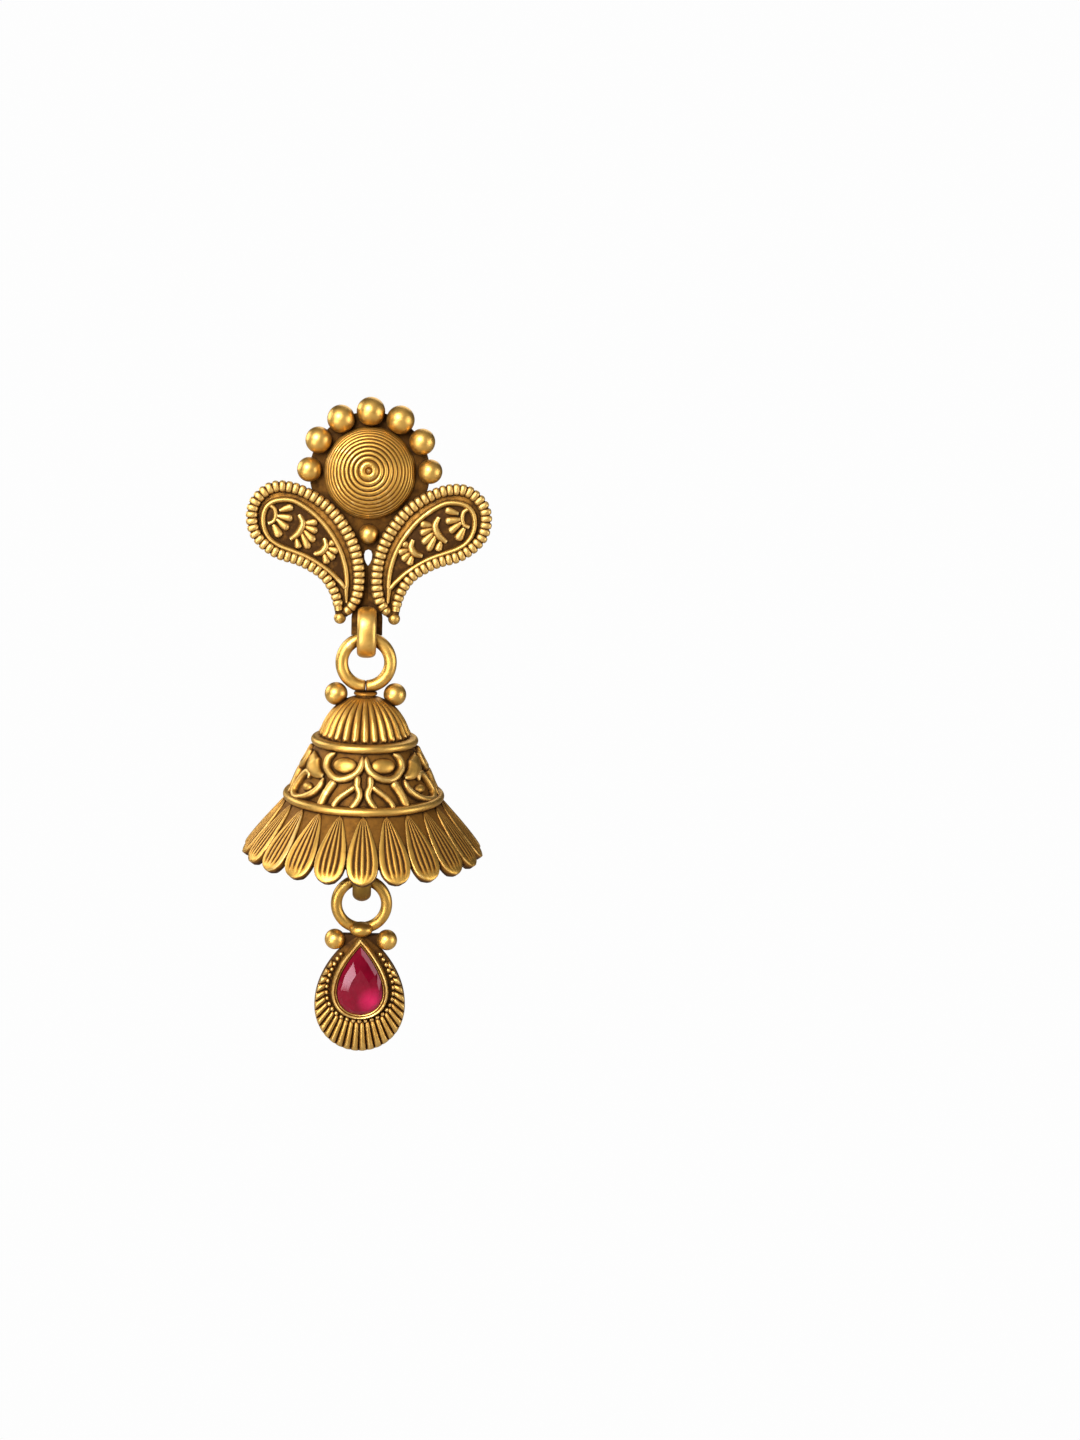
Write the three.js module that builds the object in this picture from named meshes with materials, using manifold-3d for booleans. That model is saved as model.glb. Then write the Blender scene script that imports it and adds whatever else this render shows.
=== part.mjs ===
// A drop earring of the jhumka kind, in antique gold-plated brass with one red pear-cut stone.
// A stud front carries a coiled dome, soldered granules and two paisleys. Its strap holds the ring of a
// hollow bell, and a hook inside the bell holds the ring of a small pear-shaped drop.
// Millimetres, +Z up, front towards -Y. The origin is on the ear post's axis, at the back of the stud.
import * as THREE from "three";
import { mergeVertices } from "three/addons/utils/BufferGeometryUtils.js";
import Module from "manifold-3d";

const wasm = await Module();
wasm.setup();

// Stud front
const plateThickness = 0.8;
const domeDiameter = 9.0;
const domeHeight = 3.1;
const domeCoils = 8;
const coilDepth = 0.2;
const domeFullness = 1.2;
const crownBeadDiameter = 2.72;
const crownBeadShares = [0.85, 0.92, 0.97, 1, 0.97, 0.92, 0.85];
const crownSpread = 175;
const crownGap = 0.04;
const keelBeadDiameter = 1.95;
const keelGap = 0.45;

// Paisleys
const paisleyWidth = 10.6;
const paisleyHeight = 12.8;
const paisleyDrop = 1.4;
const paisleyGap = 0.64;
const paisleyBaseThickness = 0.5;
const webShoulderWidth = 6.4;
const webShoulderDrop = 4.9;
const keyholeWidth = 0.8;
const keyholeHeight = 1.65;
const keyholeDrop = 7.45;
const ropeDiameter = 1.12;
const ropeTipDiameter = 1.05;
const ropeStandShare = 0.1;
const innerWireDiameter = 0.42;
const flowerPetalWidth = 0.5;
const flowerHeight = 0.42;

// Hanging parts
const pivotBelowPaisleys = 1.9;
const hangClearance = 0.12;
const strapWidth = 1.9;
const strapThickness = 1.2;
const strapHeight = 5.1;
const tabWidth = 3.1;
const postDiameter = 0.9;
const postLength = 11;
const postFootDiameter = 2.6;
const postFootThickness = 0.5;

// Bell: cap, frieze and petal skirt
const bellRingDiameter = 6.1;
const bellRingWire = 1.27;
const bellWall = 0.8;
const collarDiameter = 2.4;
const collarHeight = 0.35;
const collarChamfer = 0.25;
const ringBiteShare = 0.4;
const capRadius = 4.65;
const capHeight = 4.95;
const capFlutes = 28;
const ceilingShare = 1.6;
const fluteDepth = 0.2;
const rimWire = 0.84;
const capRimRadius = 5.38;
const shoulderBeadDiameter = 2.28;
const shoulderBeadSpacing = 5.85;
const shoulderBeadLift = 0.52;
const friezeHeight = 5.6;
const friezeTopRadius = 4.85;
const skirtRimRadius = 8.14;
const scrollWire = 0.5;
const scrollRise = 0.4;
const leafRise = 0.35;
const budRise = 0.35;
const motifRepeats = 3;
const skirtHeight = 5.45;
const skirtTipRadius = 12.1;
const petalCount = 22;
const petalWidth = 2.8;
const petalThickness = 0.75;
const petalRise = 0.5;
const petalFootShare = 0.8;
const skirtBackingShare = 0.74;

// Hook inside the bell
const hookWidth = 1.9;
const hookThickness = 1.5;
const hookHeight = 4.9;
const hookStemDiameter = 1.2;
const hookFootDiameter = 2.4;
const hookFootClearance = 0.1;
const hookFootThickness = 0.45;
const pivotBelowSkirt = 3.16;

// Pear-shaped drop and its stone
const dropRingDiameter = 6.3;
const dropRingWire = 1.16;
const dropCollarWidth = 2.35;
const dropCollarHeight = 1.4;
const dropCollarDepth = 2.3;
const dropBeadDiameter = 2.1;
const dropBeadSpacing = 5.34;
const dropBeadDrop = 0.46;
const dropBaseThickness = 0.9;
const dropBackShare = 0.65;
const bezelWidth = 5.85;
const bezelHeight = 8.7;
const bezelWall = 0.6;
const bezelRise = 1.5;
const bezelPointShare = 1.3;
const grainDiameter = 0.55;
const fanWidth = 9.25;
const fanHeight = 12.6;
const fanFullness = 0.75;
const fanLift = 1.22;
const fanRibs = 28;
const fanFocusShare = 0.48;
const fanRibRise = 0.45;
const fanRibRoot = 0.34;
const fanRibEnd = 0.62;
const fanRibSink = 0.2;
const fanStart = 0.19;
const stoneClearance = 0.06;
const stoneSeatDepth = 0.5;
const stoneRise = 0.55;
const stoneGirdle = 0.1;
const stoneTableShare = 0.56;
const stoneBreakShare = 0.8;
const stoneCuletShare = 0.3;
const stoneBezelLap = 0.25;

// Mesh fineness
const beadSides = 10;
const beadRows = 6;
const wireSides = 6;
const ringSteps = 20;
const bellSides = 30;
const domeSides = 20;
const hollowSides = 16;
const rimSteps = 3;
const capLevels = 5;
const outlineSteps = 28;
const ropeSteps = 42;
const innerWireSteps = 20;
const reliefSides = 4;
const pearSides = 24;
const stoneSides = 16;
const beyond = 40;

// Places that follow from the sizes
const domeRadius = domeDiameter / 2;
const crownRadius = domeRadius + crownGap + crownBeadDiameter / 2;
const faceY = -plateThickness;
const paisleyFaceY = faceY - paisleyBaseThickness;
const hookInside = (wire) => wire / 2 + hangClearance * 2;
const hangY = -hookInside(bellRingWire) - strapThickness;
const waistX = (ropeDiameter + paisleyGap) / 2;
const paisleyTipZ = -paisleyDrop - paisleyHeight;
const upperPivotZ = paisleyTipZ - pivotBelowPaisleys;
const bellRingRadius = (bellRingDiameter - bellRingWire) / 2;
const collarTopZ = upperPivotZ - 2 * bellRingRadius - bellRingWire * ringBiteShare;
const capTopZ = collarTopZ - collarHeight;
const capSeatZ = capTopZ - capHeight;
const friezeSeatZ = capSeatZ - friezeHeight;
const lowerPivotZ = friezeSeatZ - skirtHeight - pivotBelowSkirt;
const dropRingRadius = (dropRingDiameter - dropRingWire) / 2;
const dropTopZ = lowerPivotZ - 2 * dropRingRadius - dropCollarHeight / 2;
const dropBackY = hangY + dropBaseThickness * dropBackShare;
const dropFaceY = dropBackY - dropBaseThickness;

const gold = { metalness: 1, roughness: 0.35 };
const brightGold = new THREE.MeshStandardMaterial({ color: 0xc9973f, ...gold });
const darkGold = new THREE.MeshStandardMaterial({ color: 0xa8772c, ...gold });
const redStone = new THREE.MeshStandardMaterial({ color: 0xb3123f, roughness: 0.08 });

// A closed geometry as a solid, turned inside out first where its faces point inwards.
function solid(geometry) {
  const bare = geometry.clone();
  bare.deleteAttribute("normal");
  bare.deleteAttribute("uv");
  const merged = mergeVertices(bare, 1e-4);
  const vertProperties = new Float32Array(merged.attributes.position.array);
  const triVerts = new Uint32Array(merged.index.array);
  const made = new wasm.Manifold(new wasm.Mesh({ numProp: 3, vertProperties, triVerts }));
  if (made.volume() >= 0) return made;
  return new wasm.Manifold(new wasm.Mesh({ numProp: 3, vertProperties, triVerts: triVerts.toReversed() }));
}

// The solid as a named mesh.
function piece(name, body, material) {
  const { vertProperties, triVerts } = body.getMesh();
  const geometry = new THREE.BufferGeometry();
  geometry.setAttribute("position", new THREE.BufferAttribute(vertProperties, 3));
  geometry.setIndex(new THREE.BufferAttribute(triVerts, 1));
  geometry.computeVertexNormals();
  const mesh = new THREE.Mesh(geometry, material);
  mesh.name = name;
  return mesh;
}

const joined = (bodies) => bodies.reduce((whole, body) => whole.add(body));

// Rings of points joined into one skin, closed on itself or capped at both ends.
function skin(rings, closed) {
  const count = rings[0].length;
  const index = [];
  const steps = closed ? rings.length : rings.length - 1;
  for (let i = 0; i < steps; i++) {
    const next = ((i + 1) % rings.length) * count;
    for (let j = 0; j < count; j++) {
      const k = (j + 1) % count;
      index.push(i * count + j, i * count + k, next + k, i * count + j, next + k, next + j);
    }
  }
  const end = (rings.length - 1) * count;
  for (let j = 1; j < count - 1 && !closed; j++) index.push(0, j + 1, j, end, end + j, end + j + 1);
  const geometry = new THREE.BufferGeometry().setFromPoints(rings.flat());
  return solid(geometry.setIndex(index));
}

// A section carried along a path. up(point) is the direction that stands off the surface it lies on, and
// section(i) gives the outline there as [across, above] pairs.
function sweep(path, up, section, closed = false) {
  const rings = path.map((point, i) => {
    const before = path[closed ? (i + path.length - 1) % path.length : Math.max(i - 1, 0)];
    const after = path[closed ? (i + 1) % path.length : Math.min(i + 1, path.length - 1)];
    const above = up(point);
    const across = after.clone().sub(before).cross(above).normalize();
    return section(i).map(([a, b]) => point.clone().addScaledVector(across, a).addScaledVector(above, b));
  });
  return skin(rings, closed);
}

// Start is the first corner's place, in sides: 0.5 lays a flat side to the front and 0 a corner.
function oval(width, height, sides, start = 0.5) {
  return Array.from({ length: sides }, (_, j) => {
    const turn = (2 * Math.PI * (j + start)) / sides;
    return [(width / 2) * Math.cos(turn), (height / 2) * Math.sin(turn)];
  });
}

// A three-cornered ridge whose foot is sunk a little into the surface.
const ridge = (width, height) => [[-width / 2, -height / 3], [width / 2, -height / 3], [0, height]];

const outward = () => new THREE.Vector3(0, -1, 0);

function bead(diameter, x, y, z) {
  return solid(new THREE.SphereGeometry(diameter / 2, beadSides, beadRows).translate(x, y, z));
}

// A round profile of [radius, height] pairs turned about the Z axis.
function turned(profile, sides = bellSides) {
  const points = profile.map(([radius, height]) => new THREE.Vector2(radius, height));
  return solid(new THREE.LatheGeometry(points, sides).rotateX(Math.PI / 2));
}

// A wire ring in a plane across the earring, hanging from the pivot at its top.
function wireRing(diameter, wire, pivotZ) {
  const radius = (diameter - wire) / 2;
  const ring = new THREE.TorusGeometry(radius, wire / 2, wireSides, ringSteps);
  return solid(ring.rotateX(Math.PI / 2).translate(0, 0, pivotZ - radius));
}

// A flat extrusion of an outline in the X-Z plane, from y = back towards the front.
function slab(outline, back, thickness) {
  const shape = new THREE.Shape(outline.map(([x, z]) => new THREE.Vector2(x, z)));
  const block = new THREE.ExtrudeGeometry(shape, { depth: thickness, bevelEnabled: false });
  return solid(block.rotateX(Math.PI / 2).translate(0, back, 0));
}

// An upright oval strap in the Y-Z plane that holds a ring's wire at the pivot.
function strapHoop(wire, width, thickness, height, pivotZ, start = 0.5) {
  const radius = hookInside(wire) + thickness / 2;
  const bottom = pivotZ - wire / 2 - hangClearance + radius - thickness / 2;
  const top = bottom + height - thickness - 2 * radius;
  const bend = 6;
  const path = [];
  for (const [centre, start] of [[top, 0], [bottom, Math.PI]]) {
    for (let i = 0; i <= bend; i++) {
      const turn = start + (Math.PI * i) / bend;
      path.push(new THREE.Vector3(0, radius * Math.cos(turn), centre + radius * Math.sin(turn)));
    }
  }
  const aside = () => new THREE.Vector3(1, 0, 0);
  return sweep(path, aside, () => oval(thickness, width, 8, start), true);
}

// Stud: backplate, granules, dome, paisleys and post
// Paisley outlines as shares of its width, from the waist out, and of its height, from the tip up.
const paisleyOutline = [
  { across: 0.17, up: 0.0 }, { across: 0.035, up: 0.13 }, { across: 0.0, up: 0.34 },
  { across: 0.07, up: 0.585 }, { across: 0.28, up: 0.835 }, { across: 0.595, up: 0.985 },
  { across: 0.83, up: 0.985 }, { across: 0.985, up: 0.85 }, { across: 0.975, up: 0.655 },
  { across: 0.8, up: 0.51 }, { across: 0.523, up: 0.429 }, { across: 0.315, up: 0.319 },
  { across: 0.21, up: 0.17 }, { across: 0.17, up: 0.0 },
];
const innerWireOutline = [
  { across: 0.117, up: 0.235 }, { across: 0.113, up: 0.303 }, { across: 0.131, up: 0.406 },
  { across: 0.18, up: 0.526 }, { across: 0.266, up: 0.65 }, { across: 0.376, up: 0.759 },
  { across: 0.498, up: 0.84 }, { across: 0.62, up: 0.892 }, { across: 0.742, up: 0.896 },
  { across: 0.822, up: 0.873 }, { across: 0.871, up: 0.832 }, { across: 0.895, up: 0.769 },
  { across: 0.883, up: 0.676 }, { across: 0.828, up: 0.598 }, { across: 0.742, up: 0.548 },
  { across: 0.62, up: 0.51 }, { across: 0.498, up: 0.472 }, { across: 0.376, up: 0.417 },
  { across: 0.266, up: 0.352 }, { across: 0.174, up: 0.28 },
];
// Three blossoms, each an arc and its petals from root to tip.
const blossoms = [
  {
    arc: [[0.83, 0.855], [0.78, 0.785], [0.845, 0.715]],
    petals: [
      [[0.742, 0.816], [0.614, 0.85]], [[0.761, 0.775], [0.618, 0.757]],
      [[0.767, 0.749], [0.657, 0.674]], [[0.797, 0.707], [0.736, 0.612]],
    ],
  },
  {
    arc: [[0.562, 0.788], [0.527, 0.723], [0.559, 0.655], [0.639, 0.598]],
    petals: [
      [[0.51, 0.723], [0.386, 0.736]], [[0.516, 0.702], [0.388, 0.66]], [[0.525, 0.676], [0.412, 0.583]],
      [[0.541, 0.65], [0.467, 0.526]], [[0.584, 0.603], [0.559, 0.526]],
    ],
  },
  {
    arc: [[0.327, 0.612], [0.309, 0.557], [0.345, 0.51], [0.419, 0.487]],
    petals: [
      [[0.29, 0.557], [0.235, 0.588]], [[0.293, 0.539], [0.19, 0.51]],
      [[0.309, 0.515], [0.227, 0.453]], [[0.327, 0.495], [0.296, 0.412]],
    ],
  },
];

// A place on a paisley, at a height off the stud, for the side -1 (left) or 1 (right).
function onPaisley(side, across, up, y) {
  return new THREE.Vector3(side * (waistX + across * paisleyWidth), y, paisleyTipZ + up * paisleyHeight);
}

function paisleyPath(side, outline, y, closed, steps) {
  const points = outline.map(({ across, up }) => onPaisley(side, across, up, y));
  return new THREE.CatmullRomCurve3(points, closed, "centripetal").getSpacedPoints(steps);
}

function paisleySlab(side, back, thickness) {
  const path = paisleyPath(side, paisleyOutline, 0, false, outlineSteps).slice(1);
  return slab(path.map((p) => [p.x, p.z]), back, thickness);
}

function studPlate() {
  const plate = solid(new THREE.CylinderGeometry(crownRadius, crownRadius, plateThickness, bellSides)
    .translate(0, -plateThickness / 2, 0));
  const crown = crownBeadShares.map((share, i) => {
    const turn = THREE.MathUtils.degToRad(crownSpread * (i / (crownBeadShares.length - 1) - 0.5));
    const size = share * crownBeadDiameter;
    return bead(size, crownRadius * Math.sin(turn), -size / 2, crownRadius * Math.cos(turn));
  });
  const keelZ = -(domeRadius + keelGap + keelBeadDiameter / 2);
  const keel = bead(keelBeadDiameter, 0, -keelBeadDiameter / 2, keelZ);
  const strap = strapHoop(bellRingWire, strapWidth, strapThickness, strapHeight, upperPivotZ)
    .translate(0, hangY, 0);
  const tabBottom = upperPivotZ + hangClearance;
  const keyholeFoot = -keyholeDrop - keyholeHeight;
  const half = [[webShoulderWidth / 2, -webShoulderDrop], [waistX, keyholeFoot], [tabWidth / 2, paisleyTipZ],
    [tabWidth / 2, tabBottom]];
  const mirrored = half.map(([x, z]) => [-x, z]).reverse();
  const keyhole = slab([[0, -keyholeDrop], [-keyholeWidth / 2, -keyholeDrop - keyholeHeight * 0.3],
    [0, keyholeFoot], [keyholeWidth / 2, -keyholeDrop - keyholeHeight * 0.3]], plateThickness, beyond);
  const web = slab([...half, ...mirrored], 0, plateThickness);
  const paisleyBacks = [-1, 1].map((side) => paisleySlab(side, 0, plateThickness));
  return joined([plate, ...paisleyBacks, web]).subtract(keyhole).add(joined([...crown, keel, strap]));
}

// The coiled dome, turned about the Y axis with its flat back on the plate.
function domeBoss() {
  const profile = [[0, 0]];
  for (let i = domeCoils * 2; i >= 0; i--) {
    const share = i / (domeCoils * 2);
    const turn = (share * Math.PI) / 2;
    const groove = i % 2 && i > 1 ? coilDepth : 0;
    const height = (domeHeight - groove) * Math.cos(turn) ** domeFullness;
    profile.push([(domeRadius - groove) * Math.sin(turn), height]);
  }
  const points = profile.map(([radius, height]) => new THREE.Vector2(radius, height));
  return solid(new THREE.LatheGeometry(points, domeSides).rotateX(Math.PI).translate(0, faceY, 0));
}

function blossomRelief(side, { arc, petals }) {
  const y = paisleyFaceY;
  const grown = (shares) => (i) =>
    oval(shares[i] * flowerPetalWidth, shares[i] * 2 * flowerHeight, reliefSides);
  const stem = new THREE.CatmullRomCurve3(arc.map(([across, up]) => onPaisley(side, across, up, y)));
  const stemShares = [0.5, 0.8, 1, 1, 0.8, 0.5];
  const parts = [sweep(stem.getPoints(stemShares.length - 1), outward, grown(stemShares))];
  for (const ends of petals) {
    const [root, tip] = ends.map(([across, up]) => onPaisley(side, across, up, y));
    const petal = [0, 0.6, 1].map((share) => root.clone().lerp(tip, share));
    parts.push(sweep(petal, outward, grown([0.45, 1, 0.4])));
  }
  return joined(parts);
}

function paisley(side) {
  const base = paisleySlab(side, faceY, paisleyBaseThickness);
  const ropeY = paisleyFaceY - ropeDiameter * ropeStandShare;
  const ropePath = paisleyPath(side, paisleyOutline, ropeY, false, ropeSteps);
  const ropeSection = () => oval(ropeDiameter, ropeDiameter, wireSides);
  const middle = Math.round(ropeSteps / 2);
  const rope = joined([ropePath.slice(0, middle + 1), ropePath.slice(middle)]
    .map((stretch) => sweep(stretch, outward, ropeSection)));
  const tip = onPaisley(side, paisleyOutline[0].across, paisleyOutline[0].up, ropeY);
  const tipBead = bead(ropeTipDiameter, tip.x, tip.y, tip.z);
  const wirePath = paisleyPath(side, innerWireOutline, paisleyFaceY, true, innerWireSteps).slice(1);
  const wireSection = () => oval(innerWireDiameter, innerWireDiameter * 2, reliefSides);
  const wire = sweep(wirePath, outward, wireSection, true);
  const behind = solid(new THREE.BoxGeometry(beyond, beyond, beyond).translate(0, faceY + beyond / 2, 0));
  return joined([base, rope, tipBead, wire, ...blossoms.map((b) => blossomRelief(side, b))]).subtract(behind);
}

function earPost() {
  const foot = new THREE.CylinderGeometry(postFootDiameter / 2, postFootDiameter / 2, postFootThickness, 16);
  const stem = new THREE.CylinderGeometry(postDiameter / 2, postDiameter / 2, postLength, 12);
  foot.translate(0, postFootThickness / 2, 0);
  stem.translate(0, postLength / 2, 0);
  return joined([solid(foot), solid(stem)]);
}

// Bell, turned about its own axis through the pivot
function bellCap() {
  const columns = capFlutes * 2;
  const rings = [];
  for (let i = 0; i < capLevels; i++) {
    const turn = (Math.PI / 2) * (0.06 + (0.94 * i) / (capLevels - 1));
    rings.push(Array.from({ length: columns }, (_, j) => {
      const about = (2 * Math.PI * j) / columns;
      const radius = capRadius * Math.sin(turn) - (j % 2 ? 0 : fluteDepth * Math.min(1, i));
      return new THREE.Vector3(radius * Math.sin(about), radius * Math.cos(about),
        capSeatZ + capHeight * Math.cos(turn));
    }));
  }
  const dome = skin(rings, false);
  const innerRadius = capRadius - bellWall - fluteDepth;
  const vault = [0, Math.PI / 6, Math.PI / 3].map((turn) =>
    [innerRadius * Math.cos(turn), capSeatZ + (capHeight - 2 * bellWall) * Math.sin(turn)]);
  const ceilingRadius = hookFootDiameter / 2 + hookFootClearance;
  const hollow = turned([[0, capSeatZ - beyond], [innerRadius, capSeatZ - beyond], ...vault,
    [ceilingRadius, hookCeilingZ], [0, hookCeilingZ]], hollowSides);
  const rimCentre = capRimRadius - rimWire / 2;
  const rim = turned(roundRim(rimCentre, capSeatZ + rimWire / 2, capRadius - bellWall / 2 - fluteDepth));
  const collar = turned([[0, capTopZ - bellWall], [collarDiameter / 2, capTopZ - bellWall],
    [collarDiameter / 2, collarTopZ - collarChamfer], [collarDiameter / 2 - collarChamfer, collarTopZ],
    [0, collarTopZ]], hollowSides);
  const beads = [-1, 1].map((side) => {
    const x = (side * shoulderBeadSpacing) / 2;
    const shoulder = capSeatZ + capHeight * Math.sqrt(1 - (x / capRadius) ** 2);
    return bead(shoulderBeadDiameter, x, 0, shoulder + shoulderBeadDiameter * shoulderBeadLift);
  });
  const ring = wireRing(bellRingDiameter, bellRingWire, upperPivotZ);
  return joined([dome, rim, ...beads]).subtract(hollow).add(collar).add(ring);
}

// Everything above a height, to cut a seat flat.
function blockAbove(z) {
  return solid(new THREE.BoxGeometry(beyond, beyond, beyond).translate(0, 0, z + beyond / 2));
}

// The section of a rim wire that is filled in to the wall behind it.
function roundRim(centre, z, wallRadius) {
  const half = rimWire / 2;
  const profile = [[wallRadius, z - half]];
  for (let i = 0; i <= rimSteps; i++) {
    const turn = -Math.PI / 2 + (Math.PI * i) / rimSteps;
    profile.push([centre + half * Math.cos(turn), z + half * Math.sin(turn)]);
  }
  profile.push([wallRadius, z + half], profile[0]);
  return profile;
}

const hookCeilingZ = capSeatZ + capHeight - ceilingShare * bellWall;
const friezeFootRadius = skirtRimRadius - rimWire * 0.75;
const friezeSlope = Math.atan2(friezeFootRadius - friezeTopRadius, friezeHeight);

// A place on the frieze's wall: degrees round from the front, and share of the way down.
function onFrieze([degrees, down]) {
  const about = THREE.MathUtils.degToRad(degrees);
  const radius = THREE.MathUtils.lerp(friezeTopRadius, friezeFootRadius, down);
  const z = capSeatZ - down * friezeHeight;
  return new THREE.Vector3(radius * Math.sin(about), -radius * Math.cos(about), z);
}

// The way that stands square off the frieze's wall.
function offFrieze(point) {
  const flat = new THREE.Vector3(point.x, point.y, 0).setLength(Math.cos(friezeSlope));
  return flat.setZ(Math.sin(friezeSlope));
}

// Half of one motif, mirrored and repeated: stems and scrolls as [degrees of its sixth, share down].
const scrolls = [
  {
    steps: 7, width: 1,
    line: [[3, 0.08], [5, 0.28], [13, 0.45], [26, 0.5], [36, 0.4], [39, 0.22], [35, 0.06]],
  },
  { steps: 3, width: 0.95, line: [[5, 0.34], [4.5, 0.55], [5, 0.72], [11, 0.92]] },
  { steps: 2, width: 0.85, line: [[5.5, 0.56], [13, 0.68], [22, 0.78], [25, 0.92]] },
  { steps: 2, width: 0.95, line: [[25, 0.5], [30, 0.62], [36, 0.9]] },
  { steps: 6, width: 1, line: [[60, 0.9], [50, 0.84], [43.5, 0.62], [43, 0.44], [50, 0.42], [60, 0.5]] },
];
const leaves = [{ root: [40, 0.42], tip: [54, 0.08], width: 1.5 }];
const buds = [{ middle: [21, 0.24], reach: 0.95 }, { middle: [60, 0.66], reach: 0.85 }];

function friezeScroll({ line, steps, width }, mirror, turn) {
  const points = line.map(([degrees, down]) => onFrieze([mirror * degrees + turn, down]));
  const path = new THREE.CatmullRomCurve3(points, false, "centripetal").getSpacedPoints(steps);
  return sweep(path, offFrieze, () => ridge(scrollWire * width, scrollRise));
}

function friezeLeaf({ root, tip, width }, mirror, turn) {
  const points = [0, 0.45, 1].map((share) => {
    const lean = mirror * (root[0] + share * (tip[0] - root[0])) + turn;
    return onFrieze([lean, root[1] + share * (tip[1] - root[1])]);
  });
  const widths = [0.3, 1, 0.2];
  return sweep(points, offFrieze, (i) => ridge(width * widths[i], leafRise));
}

function friezeBud({ middle, reach }, mirror, turn) {
  const centre = onFrieze([mirror * middle[0] + turn, middle[1]]);
  const out = offFrieze(centre);
  const boss = new THREE.SphereGeometry(reach, 6, 3).scale(1, 0.62, 1);
  const sunk = centre.addScaledVector(out, budRise - reach * 0.62);
  const facing = new THREE.Quaternion().setFromUnitVectors(new THREE.Vector3(0, 1, 0), out);
  return solid(boss.applyQuaternion(facing).translate(sunk.x, sunk.y, sunk.z));
}

function bellFrieze() {
  const wall = bellWall / Math.cos(friezeSlope);
  const innerTop = friezeTopRadius - wall;
  const innerFoot = friezeFootRadius - wall;
  const shell = turned([[innerTop, capSeatZ], [friezeTopRadius, capSeatZ], [friezeFootRadius, friezeSeatZ],
    [innerFoot, friezeSeatZ], [innerTop, capSeatZ]]);
  const rimCentre = skirtRimRadius - rimWire / 2;
  const rim = turned(roundRim(rimCentre, friezeSeatZ + rimWire / 2, friezeFootRadius - wall / 2));
  const relief = [];
  for (let i = 0; i < motifRepeats; i++) {
    const turn = (360 * i) / motifRepeats;
    for (const mirror of [-1, 1]) {
      relief.push(...scrolls.map((s) => friezeScroll(s, mirror, turn)));
      relief.push(...leaves.map((l) => friezeLeaf(l, mirror, turn)));
    }
    relief.push(friezeBud(buds[0], -1, turn), friezeBud(buds[0], 1, turn), friezeBud(buds[1], 1, turn));
  }
  const inside = turned([[0, capSeatZ + beyond], [innerTop, capSeatZ + beyond], [innerTop, capSeatZ],
    [innerFoot, friezeSeatZ], [innerFoot, friezeSeatZ - beyond], [0, friezeSeatZ - beyond]]);
  return joined([shell, rim, ...relief]).subtract(inside).subtract(blockAbove(capSeatZ));
}

// Petals lie down the slope of the skirt. Widths and ridge heights are shares at stations from root to tip.
const petalStations = [
  { along: 0.0, width: 0.18 }, { along: 0.35, width: 0.68 }, { along: 0.7, width: 1.0 },
  { along: 0.9, width: 0.74 }, { along: 1.0, width: 0.2 },
];
const petalSection = [[-1, 0], [-0.6, 0.8], [0, 1], [0.6, 0.8], [1, 0]];

function petalSkirt() {
  const rootRadius = skirtRimRadius - rimWire * 0.5;
  const reach = new THREE.Vector2(skirtTipRadius - rootRadius, -skirtHeight);
  const length = reach.length();
  const slope = reach.clone().normalize();
  const rise = new THREE.Vector2(-slope.y, slope.x);
  const at = (along, off) =>
    [rootRadius + slope.x * along + rise.x * off, friezeSeatZ + slope.y * along + rise.y * off];
  const edge = at(length * skirtBackingShare, 0);
  const under = at(length * skirtBackingShare, -bellWall);
  const wall = bellWall / rise.x;
  const backing = turned([[rootRadius - wall, friezeSeatZ], [rootRadius, friezeSeatZ], edge, under,
    [rootRadius - wall, friezeSeatZ]], petalCount);
  const petals = Array.from({ length: petalCount }, (_, i) => {
    const about = (2 * Math.PI * i) / petalCount;
    const place = (along, across, off) => {
      const [radius, z] = at(along, off);
      return new THREE.Vector3(radius * Math.sin(about) + across * Math.cos(about),
        -radius * Math.cos(about) + across * Math.sin(about), z);
    };
    const rings = petalStations.map(({ along, width }) => {
      const half = (petalWidth / 2) * width;
      const lift = petalRise * (0.35 + 0.65 * width);
      const low = -petalThickness;
      const top = petalSection.map(([side, up]) => place(length * along, side * half, up * lift));
      const foot = [half, -half].map((across) => place(length * along, across * petalFootShare, low));
      return [...top, ...foot];
    });
    return skin(rings, false);
  });
  return joined([backing, ...petals]).subtract(blockAbove(friezeSeatZ));
}

function innerHook() {
  const hoop = strapHoop(dropRingWire, hookWidth, hookThickness, hookHeight, lowerPivotZ, 0);
  const hoopTop = lowerPivotZ - dropRingWire / 2 - hangClearance - hookThickness + hookHeight;
  const stemLength = hookCeilingZ - hoopTop + hookThickness / 2;
  const stem = new THREE.CylinderGeometry(hookStemDiameter / 2, hookStemDiameter / 2, stemLength, 10);
  const foot = new THREE.CylinderGeometry(hookFootDiameter / 2, hookFootDiameter / 2, hookFootThickness, 14);
  return joined([hoop,
    solid(stem.rotateX(Math.PI / 2).translate(0, 0, hookCeilingZ - stemLength / 2)),
    solid(foot.rotateX(Math.PI / 2).translate(0, 0, hookCeilingZ - hookFootThickness / 2))]);
}

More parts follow.
